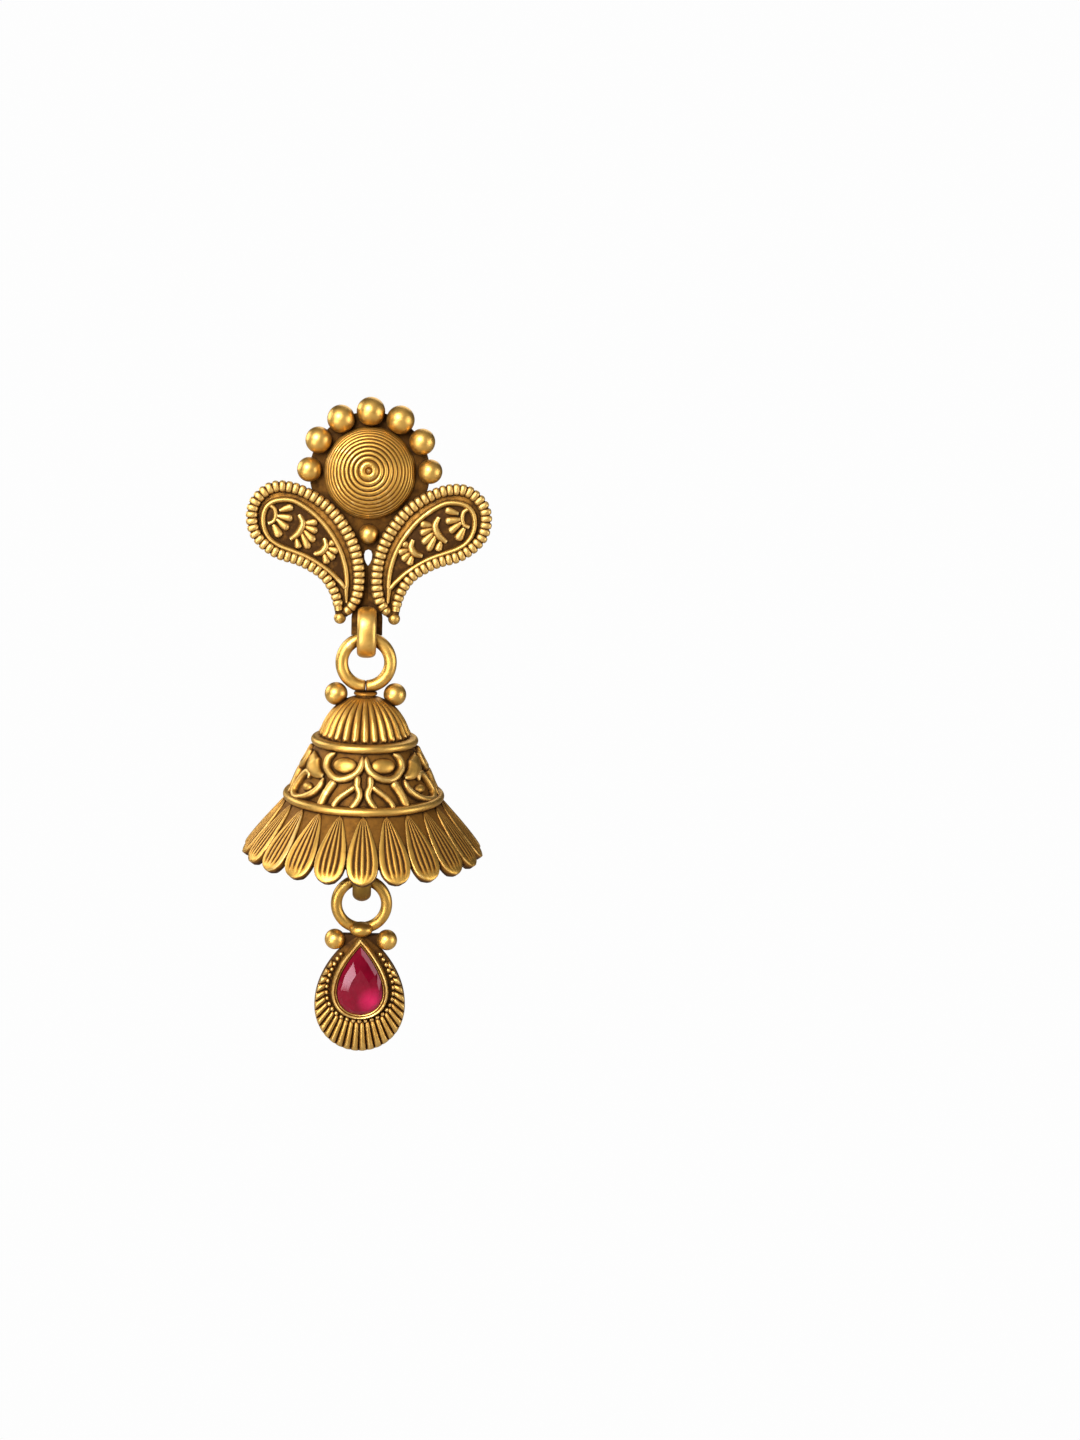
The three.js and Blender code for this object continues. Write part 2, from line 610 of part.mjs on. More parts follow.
// Pear-shaped drop
// A place on a pear outline with its point up, as [x, z], a share of the way round from the point.
// Fullness 1 is the plain teardrop, less is rounder, and a lift over 1 raises its widest place.
function pearPoint(share, { width, height, topZ, fullness = 1, lift = 1 }) {
  const turn = 2 * Math.PI * share;
  const peak = (1 + fullness) / (2 + fullness);
  const widest = 2 * Math.sqrt(peak * (1 - peak)) * peak ** (fullness / 2);
  const swell = Math.sin(turn) * Math.sin(turn / 2) ** fullness;
  return [(width / 2) * (swell / widest), topZ - height * ((1 - Math.cos(turn)) / 2) ** lift];
}

const pear = (size, steps) => Array.from({ length: steps }, (_, i) => pearPoint(i / steps, size));

const facePoint = ([x, z], y) => new THREE.Vector3(x, y, z);

const fanSize = { width: fanWidth, height: fanHeight, topZ: dropTopZ, fullness: fanFullness, lift: fanLift };

// The bezel's outline grown by a margin, or shrunk by a negative one. Its point moves further than its sides.
function aroundBezel(margin) {
  const atPoint = margin * bezelPointShare;
  return { width: bezelWidth + 2 * margin, height: bezelHeight + margin + atPoint, topZ: dropTopZ + atPoint };
}

// The place on the bezel's grain edge that lies between the fan's focus and a place on its outline.
function rootOf([x, z]) {
  const focusZ = dropTopZ - bezelHeight * fanFocusShare;
  const reach = new THREE.Vector2(x, z - focusZ);
  const edge = pear(aroundBezel(grainDiameter), 120);
  const offLine = ([a, b]) => Math.abs(reach.angle() - new THREE.Vector2(a, b - focusZ).angle());
  return edge.reduce((best, point) => (offLine(point) < offLine(best) ? point : best));
}

function fanRib(share) {
  const end = pearPoint(share, fanSize);
  const path = [facePoint(rootOf(end), dropFaceY), facePoint(end, dropFaceY)];
  return sweep(path, outward, (i) => {
    const half = [fanRibRoot, fanRibEnd][i] / 2;
    return [[-half, -fanRibSink], [half, -fanRibSink], [half / 2, fanRibRise], [-half / 2, fanRibRise]];
  });
}

function dropSetting() {
  const ring = wireRing(dropRingDiameter, dropRingWire, lowerPivotZ).translate(0, hangY, 0);
  const collar = solid(new THREE.SphereGeometry(1 / 2, beadSides, beadRows)
    .scale(dropCollarWidth, dropCollarDepth, dropCollarHeight)
    .translate(0, hangY, lowerPivotZ - 2 * dropRingRadius));
  const beads = [-1, 1].map((side) =>
    bead(dropBeadDiameter, (side * dropBeadSpacing) / 2, dropFaceY, dropTopZ - dropBeadDrop));
  const fan = slab(pear(fanSize, pearSides), dropBackY, dropBaseThickness);
  const yoke = slab([[-1, 0], [1, 0], [1, 1], [-1, 1]].map(([x, down]) =>
    [(x * dropBeadSpacing) / 2, dropTopZ - down * dropCollarHeight]), dropBackY, dropBaseThickness);
  const bezel = slab(pear(aroundBezel(0), pearSides), dropBackY, dropBaseThickness + bezelRise);
  const recess = slab(pear(aroundBezel(-bezelWall), pearSides), dropFaceY + stoneSeatDepth, beyond);
  const grainPath = pear(aroundBezel(grainDiameter), pearSides).map((point) => facePoint(point, dropFaceY));
  const grainWire = sweep(grainPath, outward, () => oval(grainDiameter, grainDiameter, reliefSides), true);
  const ribs = Array.from({ length: fanRibs }, (_, i) =>
    fanRib(THREE.MathUtils.lerp(fanStart, 1 - fanStart, i / (fanRibs - 1))));
  return joined([ring, collar, ...beads, yoke, fan, grainWire, ...ribs, bezel]).subtract(recess);
}

// The stone: pavilion on the setting's floor, girdle, crown facets and table.
function stone() {
  const seatY = dropFaceY + stoneSeatDepth;
  const girdleY = dropFaceY - bezelRise + stoneBezelLap;
  const whole = aroundBezel(-bezelWall - stoneClearance);
  const level = (share, y) => {
    const size = { width: whole.width * share, height: whole.height * share };
    const outline = pear({ ...size, topZ: whole.topZ - (whole.height - size.height) / 2 }, stoneSides);
    return outline.map((point) => facePoint(point, y));
  };
  const tableY = girdleY - stoneGirdle - stoneRise;
  const breakY = THREE.MathUtils.lerp(girdleY - stoneGirdle, tableY, 0.6);
  return skin([level(stoneCuletShare, seatY), level(1, girdleY), level(1, girdleY - stoneGirdle),
    level(stoneBreakShare, breakY), level(stoneTableShare, tableY)], false);
}

const earring = new THREE.Group();
earring.name = "earring";
const stud = new THREE.Group();
stud.add(piece("stud_plate", studPlate(), darkGold));
stud.add(piece("coiled_dome", domeBoss(), brightGold));
stud.add(piece("paisley_left", paisley(-1), brightGold));
stud.add(piece("paisley_right", paisley(1), brightGold));
stud.add(piece("ear_post", earPost(), brightGold));

const bell = new THREE.Group();
bell.position.y = hangY;
bell.add(piece("bell_cap", bellCap(), brightGold));
bell.add(piece("bell_frieze", bellFrieze(), brightGold));
bell.add(piece("petal_skirt", petalSkirt(), brightGold));
bell.add(piece("inner_hook", innerHook(), darkGold));

const drop = new THREE.Group();
drop.add(piece("drop_setting", dropSetting(), brightGold));
drop.add(piece("pear_stone", stone(), redStone));

earring.add(stud, bell, drop);

export default earring;
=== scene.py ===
"""The looks of a drop earring in antique gold: a coiled stud with two paisleys, a petalled bell and a pear.

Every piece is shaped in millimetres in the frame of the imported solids, and its mesh is stored in metres.
"""

import math

import bmesh
import bpy
import numpy as np
from bpy.props import FloatProperty, FloatVectorProperty, IntProperty, PointerProperty
from mathutils import Matrix, Quaternion, Vector


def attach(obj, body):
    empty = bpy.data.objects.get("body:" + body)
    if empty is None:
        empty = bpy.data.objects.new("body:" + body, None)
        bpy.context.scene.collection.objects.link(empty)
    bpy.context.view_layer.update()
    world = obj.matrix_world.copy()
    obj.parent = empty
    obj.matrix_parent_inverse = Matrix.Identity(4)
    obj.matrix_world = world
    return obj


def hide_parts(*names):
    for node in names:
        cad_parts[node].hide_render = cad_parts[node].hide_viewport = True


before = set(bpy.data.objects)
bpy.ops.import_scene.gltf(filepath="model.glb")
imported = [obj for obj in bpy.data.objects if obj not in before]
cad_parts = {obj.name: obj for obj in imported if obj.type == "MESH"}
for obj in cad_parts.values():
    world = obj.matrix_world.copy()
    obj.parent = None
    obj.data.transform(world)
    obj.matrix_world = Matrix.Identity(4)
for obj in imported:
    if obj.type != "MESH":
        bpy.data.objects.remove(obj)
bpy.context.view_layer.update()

bl_info = {
    "name": "Drop Earring",
    "version": (1, 0, 0),
    "blender": (4, 5, 0),
    "location": "View3D > Sidebar > Earring",
    "description": "Makes the pieces of an antique gold drop earring around its packed solids",
    "category": "Object",
}

MM = 0.001
FRONT = np.array([0.0, -1.0, 0.0])
WHITE = (0.985, 0.985, 0.985)
TURN = 2 * math.pi

# Heights and depths that the solids fix, in millimetres
PLATE_FACE = -0.8
PANEL_FACE = -1.3
HANG_Y = -2.075
WAIST_X = 0.88
PAISLEY_WIDTH = 10.6
PAISLEY_HEIGHT = 12.8
PAISLEY_TIP_Z = -14.2
UPPER_PIVOT_Z = -16.1
STRAP_CLEARANCE = 0.12
COLLAR_TOP_Z = -21.438
CAP_TOP_Z = -21.788
CAP_SEAT_Z = -26.738
FRIEZE_SEAT_Z = -32.338
LOWER_PIVOT_Z = -40.948
DROP_TOP_Z = -46.788
DROP_BACK = -1.49
DROP_FACE = -2.39
FRIEZE_TOP_RADIUS = 4.85
FRIEZE_FOOT_RADIUS = 7.51
FRIEZE_HEIGHT = CAP_SEAT_Z - FRIEZE_SEAT_Z
FRIEZE_SLOPE = math.atan2(FRIEZE_FOOT_RADIUS - FRIEZE_TOP_RADIUS, FRIEZE_HEIGHT)
DEGREES_DOWN = 60
SKIRT_RIM_RADIUS = 8.14
LOWER_WIRE = 1.16
BEZEL_WIDTH = 5.85
BEZEL_HEIGHT = 8.7
BEZEL_WALL = 0.6
FAN_FOCUS_Z = -50.964
SHOULDER_X = 2.67

PAISLEY_EDGE = [
    (0.17, 0.0), (0.035, 0.13), (0.0, 0.34), (0.07, 0.585), (0.28, 0.835), (0.595, 0.985), (0.83, 0.985),
    (0.985, 0.85), (0.975, 0.655), (0.8, 0.51), (0.523, 0.429), (0.315, 0.319), (0.21, 0.17),
    (0.17, 0.0),
]
PAISLEY_WIRE = [
    (0.117, 0.235), (0.113, 0.303), (0.131, 0.406), (0.18, 0.526), (0.266, 0.65), (0.376, 0.759),
    (0.498, 0.84), (0.62, 0.892), (0.742, 0.896), (0.822, 0.873), (0.871, 0.832), (0.895, 0.769),
    (0.883, 0.676), (0.828, 0.598), (0.742, 0.548), (0.62, 0.51), (0.498, 0.472), (0.376, 0.417),
    (0.266, 0.352), (0.174, 0.28),
]
# Each blossom's arc, and its petals from root to tip
BLOSSOMS = [
    (
        [(0.83, 0.855), (0.79, 0.83), (0.777, 0.785), (0.795, 0.735), (0.845, 0.715)],
        [((0.742, 0.816), (0.614, 0.85)), ((0.761, 0.775), (0.618, 0.757)), ((0.767, 0.749), (0.657, 0.674)),
         ((0.797, 0.707), (0.736, 0.612))],
    ),
    (
        [(0.562, 0.788), (0.527, 0.723), (0.559, 0.655), (0.639, 0.598)],
        [((0.51, 0.723), (0.386, 0.736)), ((0.516, 0.702), (0.388, 0.66)), ((0.525, 0.676), (0.412, 0.583)),
         ((0.541, 0.65), (0.467, 0.526)), ((0.584, 0.603), (0.559, 0.526))],
    ),
    (
        [(0.327, 0.612), (0.309, 0.557), (0.345, 0.51), (0.419, 0.487)],
        [((0.29, 0.557), (0.235, 0.588)), ((0.293, 0.539), (0.19, 0.51)), ((0.309, 0.515), (0.227, 0.453)),
         ((0.327, 0.495), (0.296, 0.412))],
    ),
]
# Where light gathers in the stone, in millimetres
GLOW_SPOT = (1.3, -4.4, -53.3)
# Half of one motif of the frieze, as degrees round and share of the way down
SCROLLS = [
    (1.0, [(2, 0.06), (2.5, 0.19), (6, 0.31), (12.3, 0.395), (20, 0.44), (27.5, 0.43), (34.5, 0.35),
           (39.5, 0.25), (40, 0.15), (37.5, 0.08), (33, 0.035)]),
    (0.95, [(5.4, 0.355), (5.8, 0.46), (5.6, 0.54), (3.8, 0.615), (3.4, 0.7), (5.7, 0.8), (10, 0.93)]),
    (0.85, [(6.2, 0.53), (13.7, 0.645), (19, 0.74), (22, 0.84), (22.5, 0.94)]),
    (1.2, [(26, 0.47), (30, 0.61), (32.5, 0.745), (34.2, 0.93)]),
    (1.0, [(38.4, 0.465), (39.6, 0.61), (45.6, 0.74), (56.4, 0.85), (67, 0.885), (73, 0.81), (72, 0.66),
           (67.8, 0.51), (62.5, 0.43), (57.8, 0.46), (57, 0.53)]),
    (0.9, [(76, 0.09), (77.5, 0.28), (83, 0.4), (90, 0.44)]),
    (0.9, [(85, 0.45), (83, 0.62), (79, 0.76), (79.5, 0.93)]),
]
LEAF = [(39.5, 0.43), (46, 0.415), (55, 0.35), (63, 0.24), (67.5, 0.09)]
# Each boss as degrees round, share down, and its width, height and rise
BOSSES = [(19.5, 0.215, 2.5, 1.7, 0.5), (55, 0.66, 1.6, 1.0, 0.45)]
MIDDLE_BOSSES = [(0, 0.9, 0.9, 0.8, 0.3), (90, 0.24, 1.7, 1.3, 0.45), (90, 0.8, 1.3, 1.3, 0.35)]
# Each gold's reach of recesses in millimetres, their darkness of patina and painted shade, and its dullness,
# its scale of painted shade over the whole gold, and its rubbed edges
GOLDS = {
    "antique gold": (0.7, 1.0, 0.0, 1.0, 0.55),
    "backing gold": (0.9, 1.0, 0.14, 1.0, 0.55),
    "coil gold": (0.2, 0.5, 0.0, 0.82, 0.55),
    "panel gold": (0.6, 1.1, 0.07, 0.7, 0.55),
    "rope gold": (0.5, 1.15, 0.06, 0.74, 0.55),
    "post gold": (0.5, 0.5, 0.0, 1.0, 0.55),
    "cap gold": (0.7, 1.15, 0.03, 0.88, 0.55),
    "frieze gold": (1.1, 1.25, 0.04, 0.84, 0.55),
    "skirt gold": (0.8, 1.15, 0.03, 0.9, 0.55),
    # The hook hangs inside the bell, and its gold is darkened with painted shade
    "hook gold": (1.2, 0.8, 0.1, 0.38, 0.0),
    "ring gold": (0.7, 0.9, 0.0, 0.84, 0.15),
    "setting gold": (0.6, 1.15, 0.02, 0.74, 0.55),
    "bezel gold": (0.22, 0.6, 0.0, 1.0, 0.55),
}


def length(name, millimetres, description):
    return FloatProperty(
        name=name, description=description, default=millimetres * MM, min=0, precision=5, unit="LENGTH"
    )


def number(name, value, least, description):
    return IntProperty(name=name, description=description, default=value, min=least)


def colour(name, rgb, description):
    return FloatVectorProperty(
        name=name, description=description, default=rgb, size=3, min=0, max=1, subtype="COLOR"
    )


class EarringFinish(bpy.types.PropertyGroup):
    gold: colour("Gold", (0.63, 0.36, 0.076), "Colour of the worn gold on raised metal")
    pale_gold: colour("Pale gold", (0.86, 0.64, 0.27), "Colour where edges are rubbed bright")
    # Amber brown painted as shade where the gold begins to sink into its recesses
    painted_shade_amber: colour("Amber", (0.36, 0.155, 0.02), "Brown film where the gold begins to sink")
    patina: colour("Patina", (0.045, 0.017, 0.002), "Dark brown that sits in the recesses")
    ruby: colour("Ruby", (0.15, 0.0005, 0.011), "Body colour of the stone")
    ruby_glow: colour("Ruby glow", (0.45, 0.01, 0.07), "Colour where light gathers low in the stone")
    satin: FloatProperty(
        name="Satin", description="Roughness of the clean gold", default=0.39, min=0, max=1, subtype="FACTOR"
    )


class EarringSizes(bpy.types.PropertyGroup):
    dome_width: length("Dome width", 9.0, "Width of the coiled dome")
    dome_height: length("Dome height", 3.1, "Height of the coiled dome off the plate")
    dome_coils: number("Coils", 12, 4, "Coils of wire on the dome")
    granule: length("Granule", 2.8, "Width of the top granule of the crown")
    crown_radius: length("Crown radius", 5.9, "Radius of the granules' arc")
    rope: length("Rope", 1.12, "Width of the paisleys' grained rope")
    rope_pitch: length("Rope pitch", 0.64, "Distance between the rope's grains")
    ring_wire: length("Ring wire", 1.27, "Wire of the upper ring")
    cap_flutes: number("Flutes", 28, 6, "Flutes round the bell's cap")
    rim_wire: length("Rim wire", 0.84, "Wire of the bell's two rims")
    relief: length("Relief", 0.6, "Height of the frieze's scrolls")
    petals: number("Petals", 22, 6, "Petals round the skirt")
    petal_width: length("Petal width", 3.05, "Widest place of a petal")
    ribs: number("Ribs", 28, 6, "Ribs of the drop's fan")
    milgrain: length("Milgrain", 0.49, "Width of the grains round the bezel")


def sizes():
    return bpy.context.scene.earring_sizes


def mm(value):
    return value / MM


def travelled(path):
    """How far along a path each of its points lies."""
    return np.concatenate([[0], np.cumsum(np.linalg.norm(np.diff(path, axis=0), axis=1))])


def at_distance(at, along, path):
    """Where a path is at the distances given."""
    return np.stack([np.interp(at, along, path[:, k]) for k in range(path.shape[1])], axis=-1)


def flowing(points, steps, closed=False):
    """Evenly spaced points on a smooth curve through the given ones."""
    p = np.asarray(points, float)
    before = p[-1:] if closed else 2 * p[:1] - p[1:2]
    after = p[:2] if closed else 2 * p[-1:] - p[-2:-1]
    p = np.vstack([before, p, after])
    dense = []
    t = np.linspace(0, 1, 24, endpoint=False)[:, None]
    for a, b, c, d in zip(p, p[1:], p[2:], p[3:]):
        gaps = [max(np.linalg.norm(v), 1e-9) ** 0.5 for v in (b - a, c - b, d - c)]
        leave = ((b - a) / gaps[0] - (c - a) / (gaps[0] + gaps[1]) + (c - b) / gaps[1]) * gaps[1]
        arrive = ((c - b) / gaps[1] - (d - b) / (gaps[1] + gaps[2]) + (d - c) / gaps[2]) * gaps[1]
        squared = (3 * (c - b) - 2 * leave - arrive) * t**2
        dense.append(b + leave * t + squared + (2 * (b - c) + leave + arrive) * t**3)
    dense = np.vstack([*dense, p[-2:-1]])
    along = travelled(dense)
    even = at_distance(np.linspace(0, along[-1], steps + 1), along, dense)
    return even[:-1] if closed else even


def turns(sides):
    return TURN * np.arange(sides) / sides


def about_axis(turn, radius, height):
    """Places about the Z axis, at turns counted from the front."""
    return np.stack(np.broadcast_arrays(radius * np.sin(turn), -radius * np.cos(turn), height), axis=-1)


def facing_front(flat, y):
    """Places at one depth for (x, z) pairs."""
    flat = np.asarray(flat, float)
    return np.stack([flat[..., 0], np.full(flat.shape[:-1], float(y)), flat[..., 1]], axis=-1)


def oval(width, height, sides):
    turn = TURN * (np.arange(sides) + 0.5) / sides
    return np.stack([width / 2 * np.cos(turn), height / 2 * np.sin(turn)], axis=1)


def squarish(sides, soft):
    """A round of radius 1 that gets squarer as soft falls below 1."""
    flat = np.stack([np.cos(turns(sides)), np.sin(turns(sides))], axis=1)
    return np.sign(flat) * np.abs(flat) ** soft


def quads(rows, sides, closed=False):
    """Faces between rows of points, each row closed round its sides."""
    faces = []
    for i in range(rows if closed else rows - 1):
        a = i * sides
        b = (i + 1) % rows * sides
        faces += [[a + j, a + (j + 1) % sides, b + (j + 1) % sides, b + j] for j in range(sides)]
    return faces


class Metal:
    """Closed skins of one piece, gathered in millimetres."""

    def __init__(self):
        self.points = []
        self.dark = []
        self.faces = []
        self.count = 0

    def add(self, points, faces, dark=0.0):
        self.points.append(np.asarray(points, float))
        self.dark.append(np.broadcast_to(np.asarray(dark, float), len(points)))
        self.faces += [[self.count + v for v in face] for face in faces]
        self.count += len(points)

    def skin(self, rings, closed=False, dark=0.0, ends=None):
        """Rings of points joined into one skin, closed on itself or drawn together at both ends, to the ends
        given or to the rings' middles. The share of patina and painted shade in the recesses comes once for all
        points, once for each point of a ring, or once for each point of each ring."""
        rings = np.asarray(rings, float)
        n, k, _ = rings.shape
        dark = np.broadcast_to(np.asarray(dark, float), (n, k))
        points = rings.reshape(-1, 3)
        faces = quads(n, k, closed)
        if closed:
            self.add(points, faces, dark.ravel())
            return
        ends = ends or (rings[0].mean(axis=0), rings[-1].mean(axis=0))
        last = (n - 1) * k
        faces += [[n * k, (j + 1) % k, j] for j in range(k)]
        faces += [[n * k + 1, last + j, last + (j + 1) % k] for j in range(k)]
        self.add(np.vstack([points, *ends]), faces, [*dark.ravel(), dark[0].mean(), dark[-1].mean()])

    def sweep(self, path, section, up=FRONT, closed=False, dark=0.0):
        """A section of (across, above) pairs, one for all or one for each point, carried along a path."""
        path = np.asarray(path, float)
        n = len(path)
        if closed:
            ahead = np.roll(path, -1, axis=0) - np.roll(path, 1, axis=0)
        else:
            ahead = np.gradient(path, axis=0)
        above = np.broadcast_to(np.asarray(up, float), path.shape)
        across = np.cross(ahead, above)
        across /= np.linalg.norm(across, axis=1)[:, None]
        section = np.asarray(section, float)
        if section.ndim == 2:
            section = np.broadcast_to(section, (n, *section.shape))
        rings = path[:, None] + across[:, None] * section[..., :1] + above[:, None] * section[..., 1:]
        self.skin(rings, closed, dark)

    def bead(self, path, width, rise, sink, swell=1.0, thin=0.0, up=FRONT, closed=False, sides=9, dark=0.5):
        """A half round wire on a surface, its foot sunk in and darkened with patina and painted shade. Its
        width and height follow swell, all but the share thin of its height."""
        turn = np.linspace(0, math.pi, sides)
        sections = []
        for w in np.broadcast_to(swell, len(path)):
            half = width * w / 2
            high = rise * (thin + (1 - thin) * w)
            top = [(half * math.cos(a), high * math.sin(a) ** 0.75) for a in turn]
            sections.append([*top, (-half, -sink), (half, -sink)])
        self.sweep(path, sections, up, closed, [*(dark * np.abs(np.cos(turn)) ** 6), 1, 1])

    def turned(self, profile, sides=96, axis="Z", wave=None, dark=0.0):
        """A profile of (radius, height) pairs turned about an axis. wave(i, turn) scales a row's radius."""
        turn = turns(sides)
        rings = []
        for i, (radius, height) in enumerate(profile):
            ring = about_axis(turn, radius if wave is None else radius * wave(i, turn), height)
            rings.append(ring if axis == "Z" else ring[:, [0, 2, 1]] * (1, -1, -1))
        self.skin(rings, dark=dark)

    def hoop(self, profile, sides=128, dark=0.0):
        """A closed profile of (radius, height) pairs turned about the Z axis."""
        radius, height = np.asarray(profile, float).T
        self.skin([about_axis(turn, radius, height) for turn in turns(sides)], closed=True, dark=dark)

    def ball(self, centre, size, sides=40, rows=24):
        """An ellipsoid with its poles along Z."""
        half = np.broadcast_to(np.asarray(size, float) / 2, 3)
        turn = turns(sides)
        rings = [
            np.stack([np.sin(a) * np.cos(turn), np.sin(a) * np.sin(turn), np.full(sides, np.cos(a))], axis=1)
            for a in np.pi * np.arange(1, rows) / rows
        ]
        rings = np.asarray(rings) * half + np.asarray(centre, float)
        self.skin(rings, ends=(centre + half * (0, 0, 1), centre - half * (0, 0, 1)))

    def slab(self, outline, back, thickness, round_off=0.12, dark=0.0):
        """A plate of an outline in the X-Z plane with softened edges, from y = back towards the front."""
        outline = np.asarray(outline, float)
        ahead = np.roll(outline, -1, axis=0) - np.roll(outline, 1, axis=0)
        side = np.stack([ahead[:, 1], -ahead[:, 0]], axis=1)
        side /= np.linalg.norm(side, axis=1)[:, None] + 1e-12
        area = np.sum(outline[:, 0] * np.roll(outline[:, 1], -1) - np.roll(outline[:, 0], -1) * outline[:, 1])
        side *= 1 if area > 0 else -1
        steps = [
            (round_off, 0), (round_off * 0.3, round_off * 0.3), (0, round_off), (0, thickness - round_off),
            (round_off * 0.3, thickness - round_off * 0.3), (round_off, thickness),
        ]
        points = np.vstack([facing_front(outline - side * inset, back - depth) for inset, depth in steps])
        n = len(outline)
        ends = [list(range(n))[::-1], list(range(len(points) - n, len(points)))]
        self.add(points, [*quads(len(steps), n), *ends], np.repeat([0.3 * dark, 0.3 * dark, *[dark] * 4], n))

    def mesh(self, name, crease=35):
        made = bpy.data.meshes.new(name)
        made.from_pydata((np.vstack(self.points) * MM).tolist(), [], self.faces)
        # Each point's share of patina and painted shade, for the gold finish to read
        held = made.attributes.new("dark", "FLOAT", "POINT")
        held.data.foreach_set("value", np.concatenate(self.dark))
        work = bmesh.new()
        work.from_mesh(made)
        bmesh.ops.remove_doubles(work, verts=work.verts, dist=1e-8)
        flat = [f for f in work.faces if len(f.verts) > 4]
        bmesh.ops.triangulate(work, faces=flat)
        bmesh.ops.recalc_face_normals(work, faces=work.faces)
        work.to_mesh(made)
        work.free()
        made.polygons.foreach_set("use_smooth", [True] * len(made.polygons))
        made.set_sharp_from_angle(angle=math.radians(crease))
        return made


def stand(name, data):
    """A new object in the scene."""
    made = bpy.data.objects.new(name, data)
    bpy.context.scene.collection.objects.link(made)
    return made


def show(made, body, slot, material, *nodes):
    """Puts a finished mesh on a body in place of the nodes."""
    piece = stand(made.name, made)
    if not made.materials:
        made.materials.append(material)
    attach(piece, body)
    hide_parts(*nodes)
    return piece


def feed(tree, made, **values):
    """Gives a node its values, each to the input of that name or number, or else as a setting. Sockets are
    linked, and colours come without their alpha."""
    for key, value in values.items():
        label = key.replace("_", " ").strip()
        if label.isdigit():
            socket = made.inputs[int(label)]
        elif label in made.inputs:
            socket = made.inputs[label]
        else:
            setattr(made, key, value)
            continue
        if isinstance(value, bpy.types.NodeSocket):
            tree.links.new(value, socket)
        elif socket.type == "RGBA":
            socket.default_value = (*value, 1)
        else:
            socket.default_value = value
    return made


def node(tree, kind, **values):
    return feed(tree, tree.nodes.new(kind), **values)


def repeat_tree():
    """Geometry nodes that set one shape on every point, turned and sized by the point's own values."""
    tree = bpy.data.node_groups.get("set shapes on points")
    if tree:
        return tree
    tree = bpy.data.node_groups.new("set shapes on points", "GeometryNodeTree")
    labels = ("Geometry", "Shape", "Finish", "Unevenness", "Seed")
    for label, kind in zip(labels, ("Geometry", "Object", "Material", "Float", "Int")):
        tree.interface.new_socket(label, in_out="INPUT", socket_type="NodeSocket" + kind)
    tree.interface.new_socket("Geometry", in_out="OUTPUT", socket_type="NodeSocketGeometry")
    given = node(tree, "NodeGroupInput").outputs
    shape = node(tree, "GeometryNodeObjectInfo", Object=given["Shape"])
    facing = node(tree, "GeometryNodeInputNamedAttribute", data_type="FLOAT_VECTOR", Name="facing")
    size = node(tree, "GeometryNodeInputNamedAttribute", data_type="FLOAT_VECTOR", Name="size")
    least = arithmetic(tree, "SUBTRACT", 1, given["Unevenness"])
    most = arithmetic(tree, "ADD", 1, given["Unevenness"])
    chance = node(tree, "FunctionNodeRandomValue", data_type="FLOAT", Seed=given["Seed"], _2=least, _3=most)
    scaled = node(
        tree, "ShaderNodeVectorMath", operation="SCALE", Scale=chance.outputs[1], _0=size.outputs["Attribute"]
    )
    placed = node(
        tree, "GeometryNodeInstanceOnPoints", Points=given["Geometry"], Instance=shape.outputs["Geometry"],
        Rotation=facing.outputs["Attribute"], Scale=scaled.outputs["Vector"],
    )
    real = node(tree, "GeometryNodeRealizeInstances", Geometry=placed.outputs["Instances"]).outputs["Geometry"]
    finished = node(tree, "GeometryNodeSetMaterial", Geometry=real, Material=given["Finish"])
    node(tree, "NodeGroupOutput", Geometry=finished.outputs["Geometry"])
    return tree


def repeated(name, shape, places, material, unevenness=0.0, seed=7, crease=80):
    """A plain mesh of one shape set at (point, turns, size) places, which are in millimetres."""
    unit = bpy.data.objects.new(name + "_unit", shape.mesh(name + "_unit", crease))
    points = bpy.data.meshes.new(name + "_points")
    points.from_pydata([(np.asarray(p) * MM).tolist() for p, _, _ in places], [], [])
    for label, index in (("facing", 1), ("size", 2)):
        held = points.attributes.new(label, "FLOAT_VECTOR", "POINT")
        held.data.foreach_set("vector", np.asarray([place[index] for place in places], float).ravel())
    carrier = stand(name + "_carrier", points)
    tree = repeat_tree()
    modifier = carrier.modifiers.new("repeat", "NODES")
    modifier.node_group = tree
    values = {"Shape": unit, "Finish": material, "Unevenness": unevenness, "Seed": seed}
    for socket in tree.interface.items_tree:
        if socket.in_out == "INPUT" and socket.name in values:
            modifier[socket.identifier] = values[socket.name]
    ready = carrier.evaluated_get(bpy.context.evaluated_depsgraph_get())
    made = bpy.data.meshes.new_from_object(ready)
    made.name = name
    carrier.modifiers.remove(modifier)
    bpy.data.objects.remove(carrier)
    bpy.data.objects.remove(unit)
    for label in ("facing", "size"):
        if label in made.attributes:
            made.attributes.remove(made.attributes[label])
    return made


def grains(name, places, body, slot, node_name, unevenness=0.01, seed=7, finish="antique gold", steps=(40, 24)):
    """Round grains at (centre, width) places."""
    unit = Metal()
    unit.ball((0, 0, 0), 1, *steps)
    places = [(centre, (0, 0, 0), (width,) * 3) for centre, width in places]
    show(repeated(name, unit, places, gold(finish), unevenness, seed), body, slot, gold(finish), node_name)


# Finishes


def spread(tree, source, low, high, to_low=0.0, to_high=1.0):
    ends = {"From_Min": low, "From_Max": high, "To_Min": to_low, "To_Max": to_high}
    return node(tree, "ShaderNodeMapRange", Value=source, **ends).outputs["Result"]


def arithmetic(tree, operation, first, second):
    return node(tree, "ShaderNodeMath", operation=operation, _0=first, _1=second).outputs[0]


def blended(tree, amount, first, second):
    return node(tree, "ShaderNodeMix", data_type="RGBA", Factor=amount, _6=first, _7=second).outputs[2]


def noise(tree, place, scale, detail, rough):
    made = node(tree, "ShaderNodeTexNoise", Vector=place, Scale=scale, Detail=detail, Roughness=rough)
    return made.outputs["Fac"]


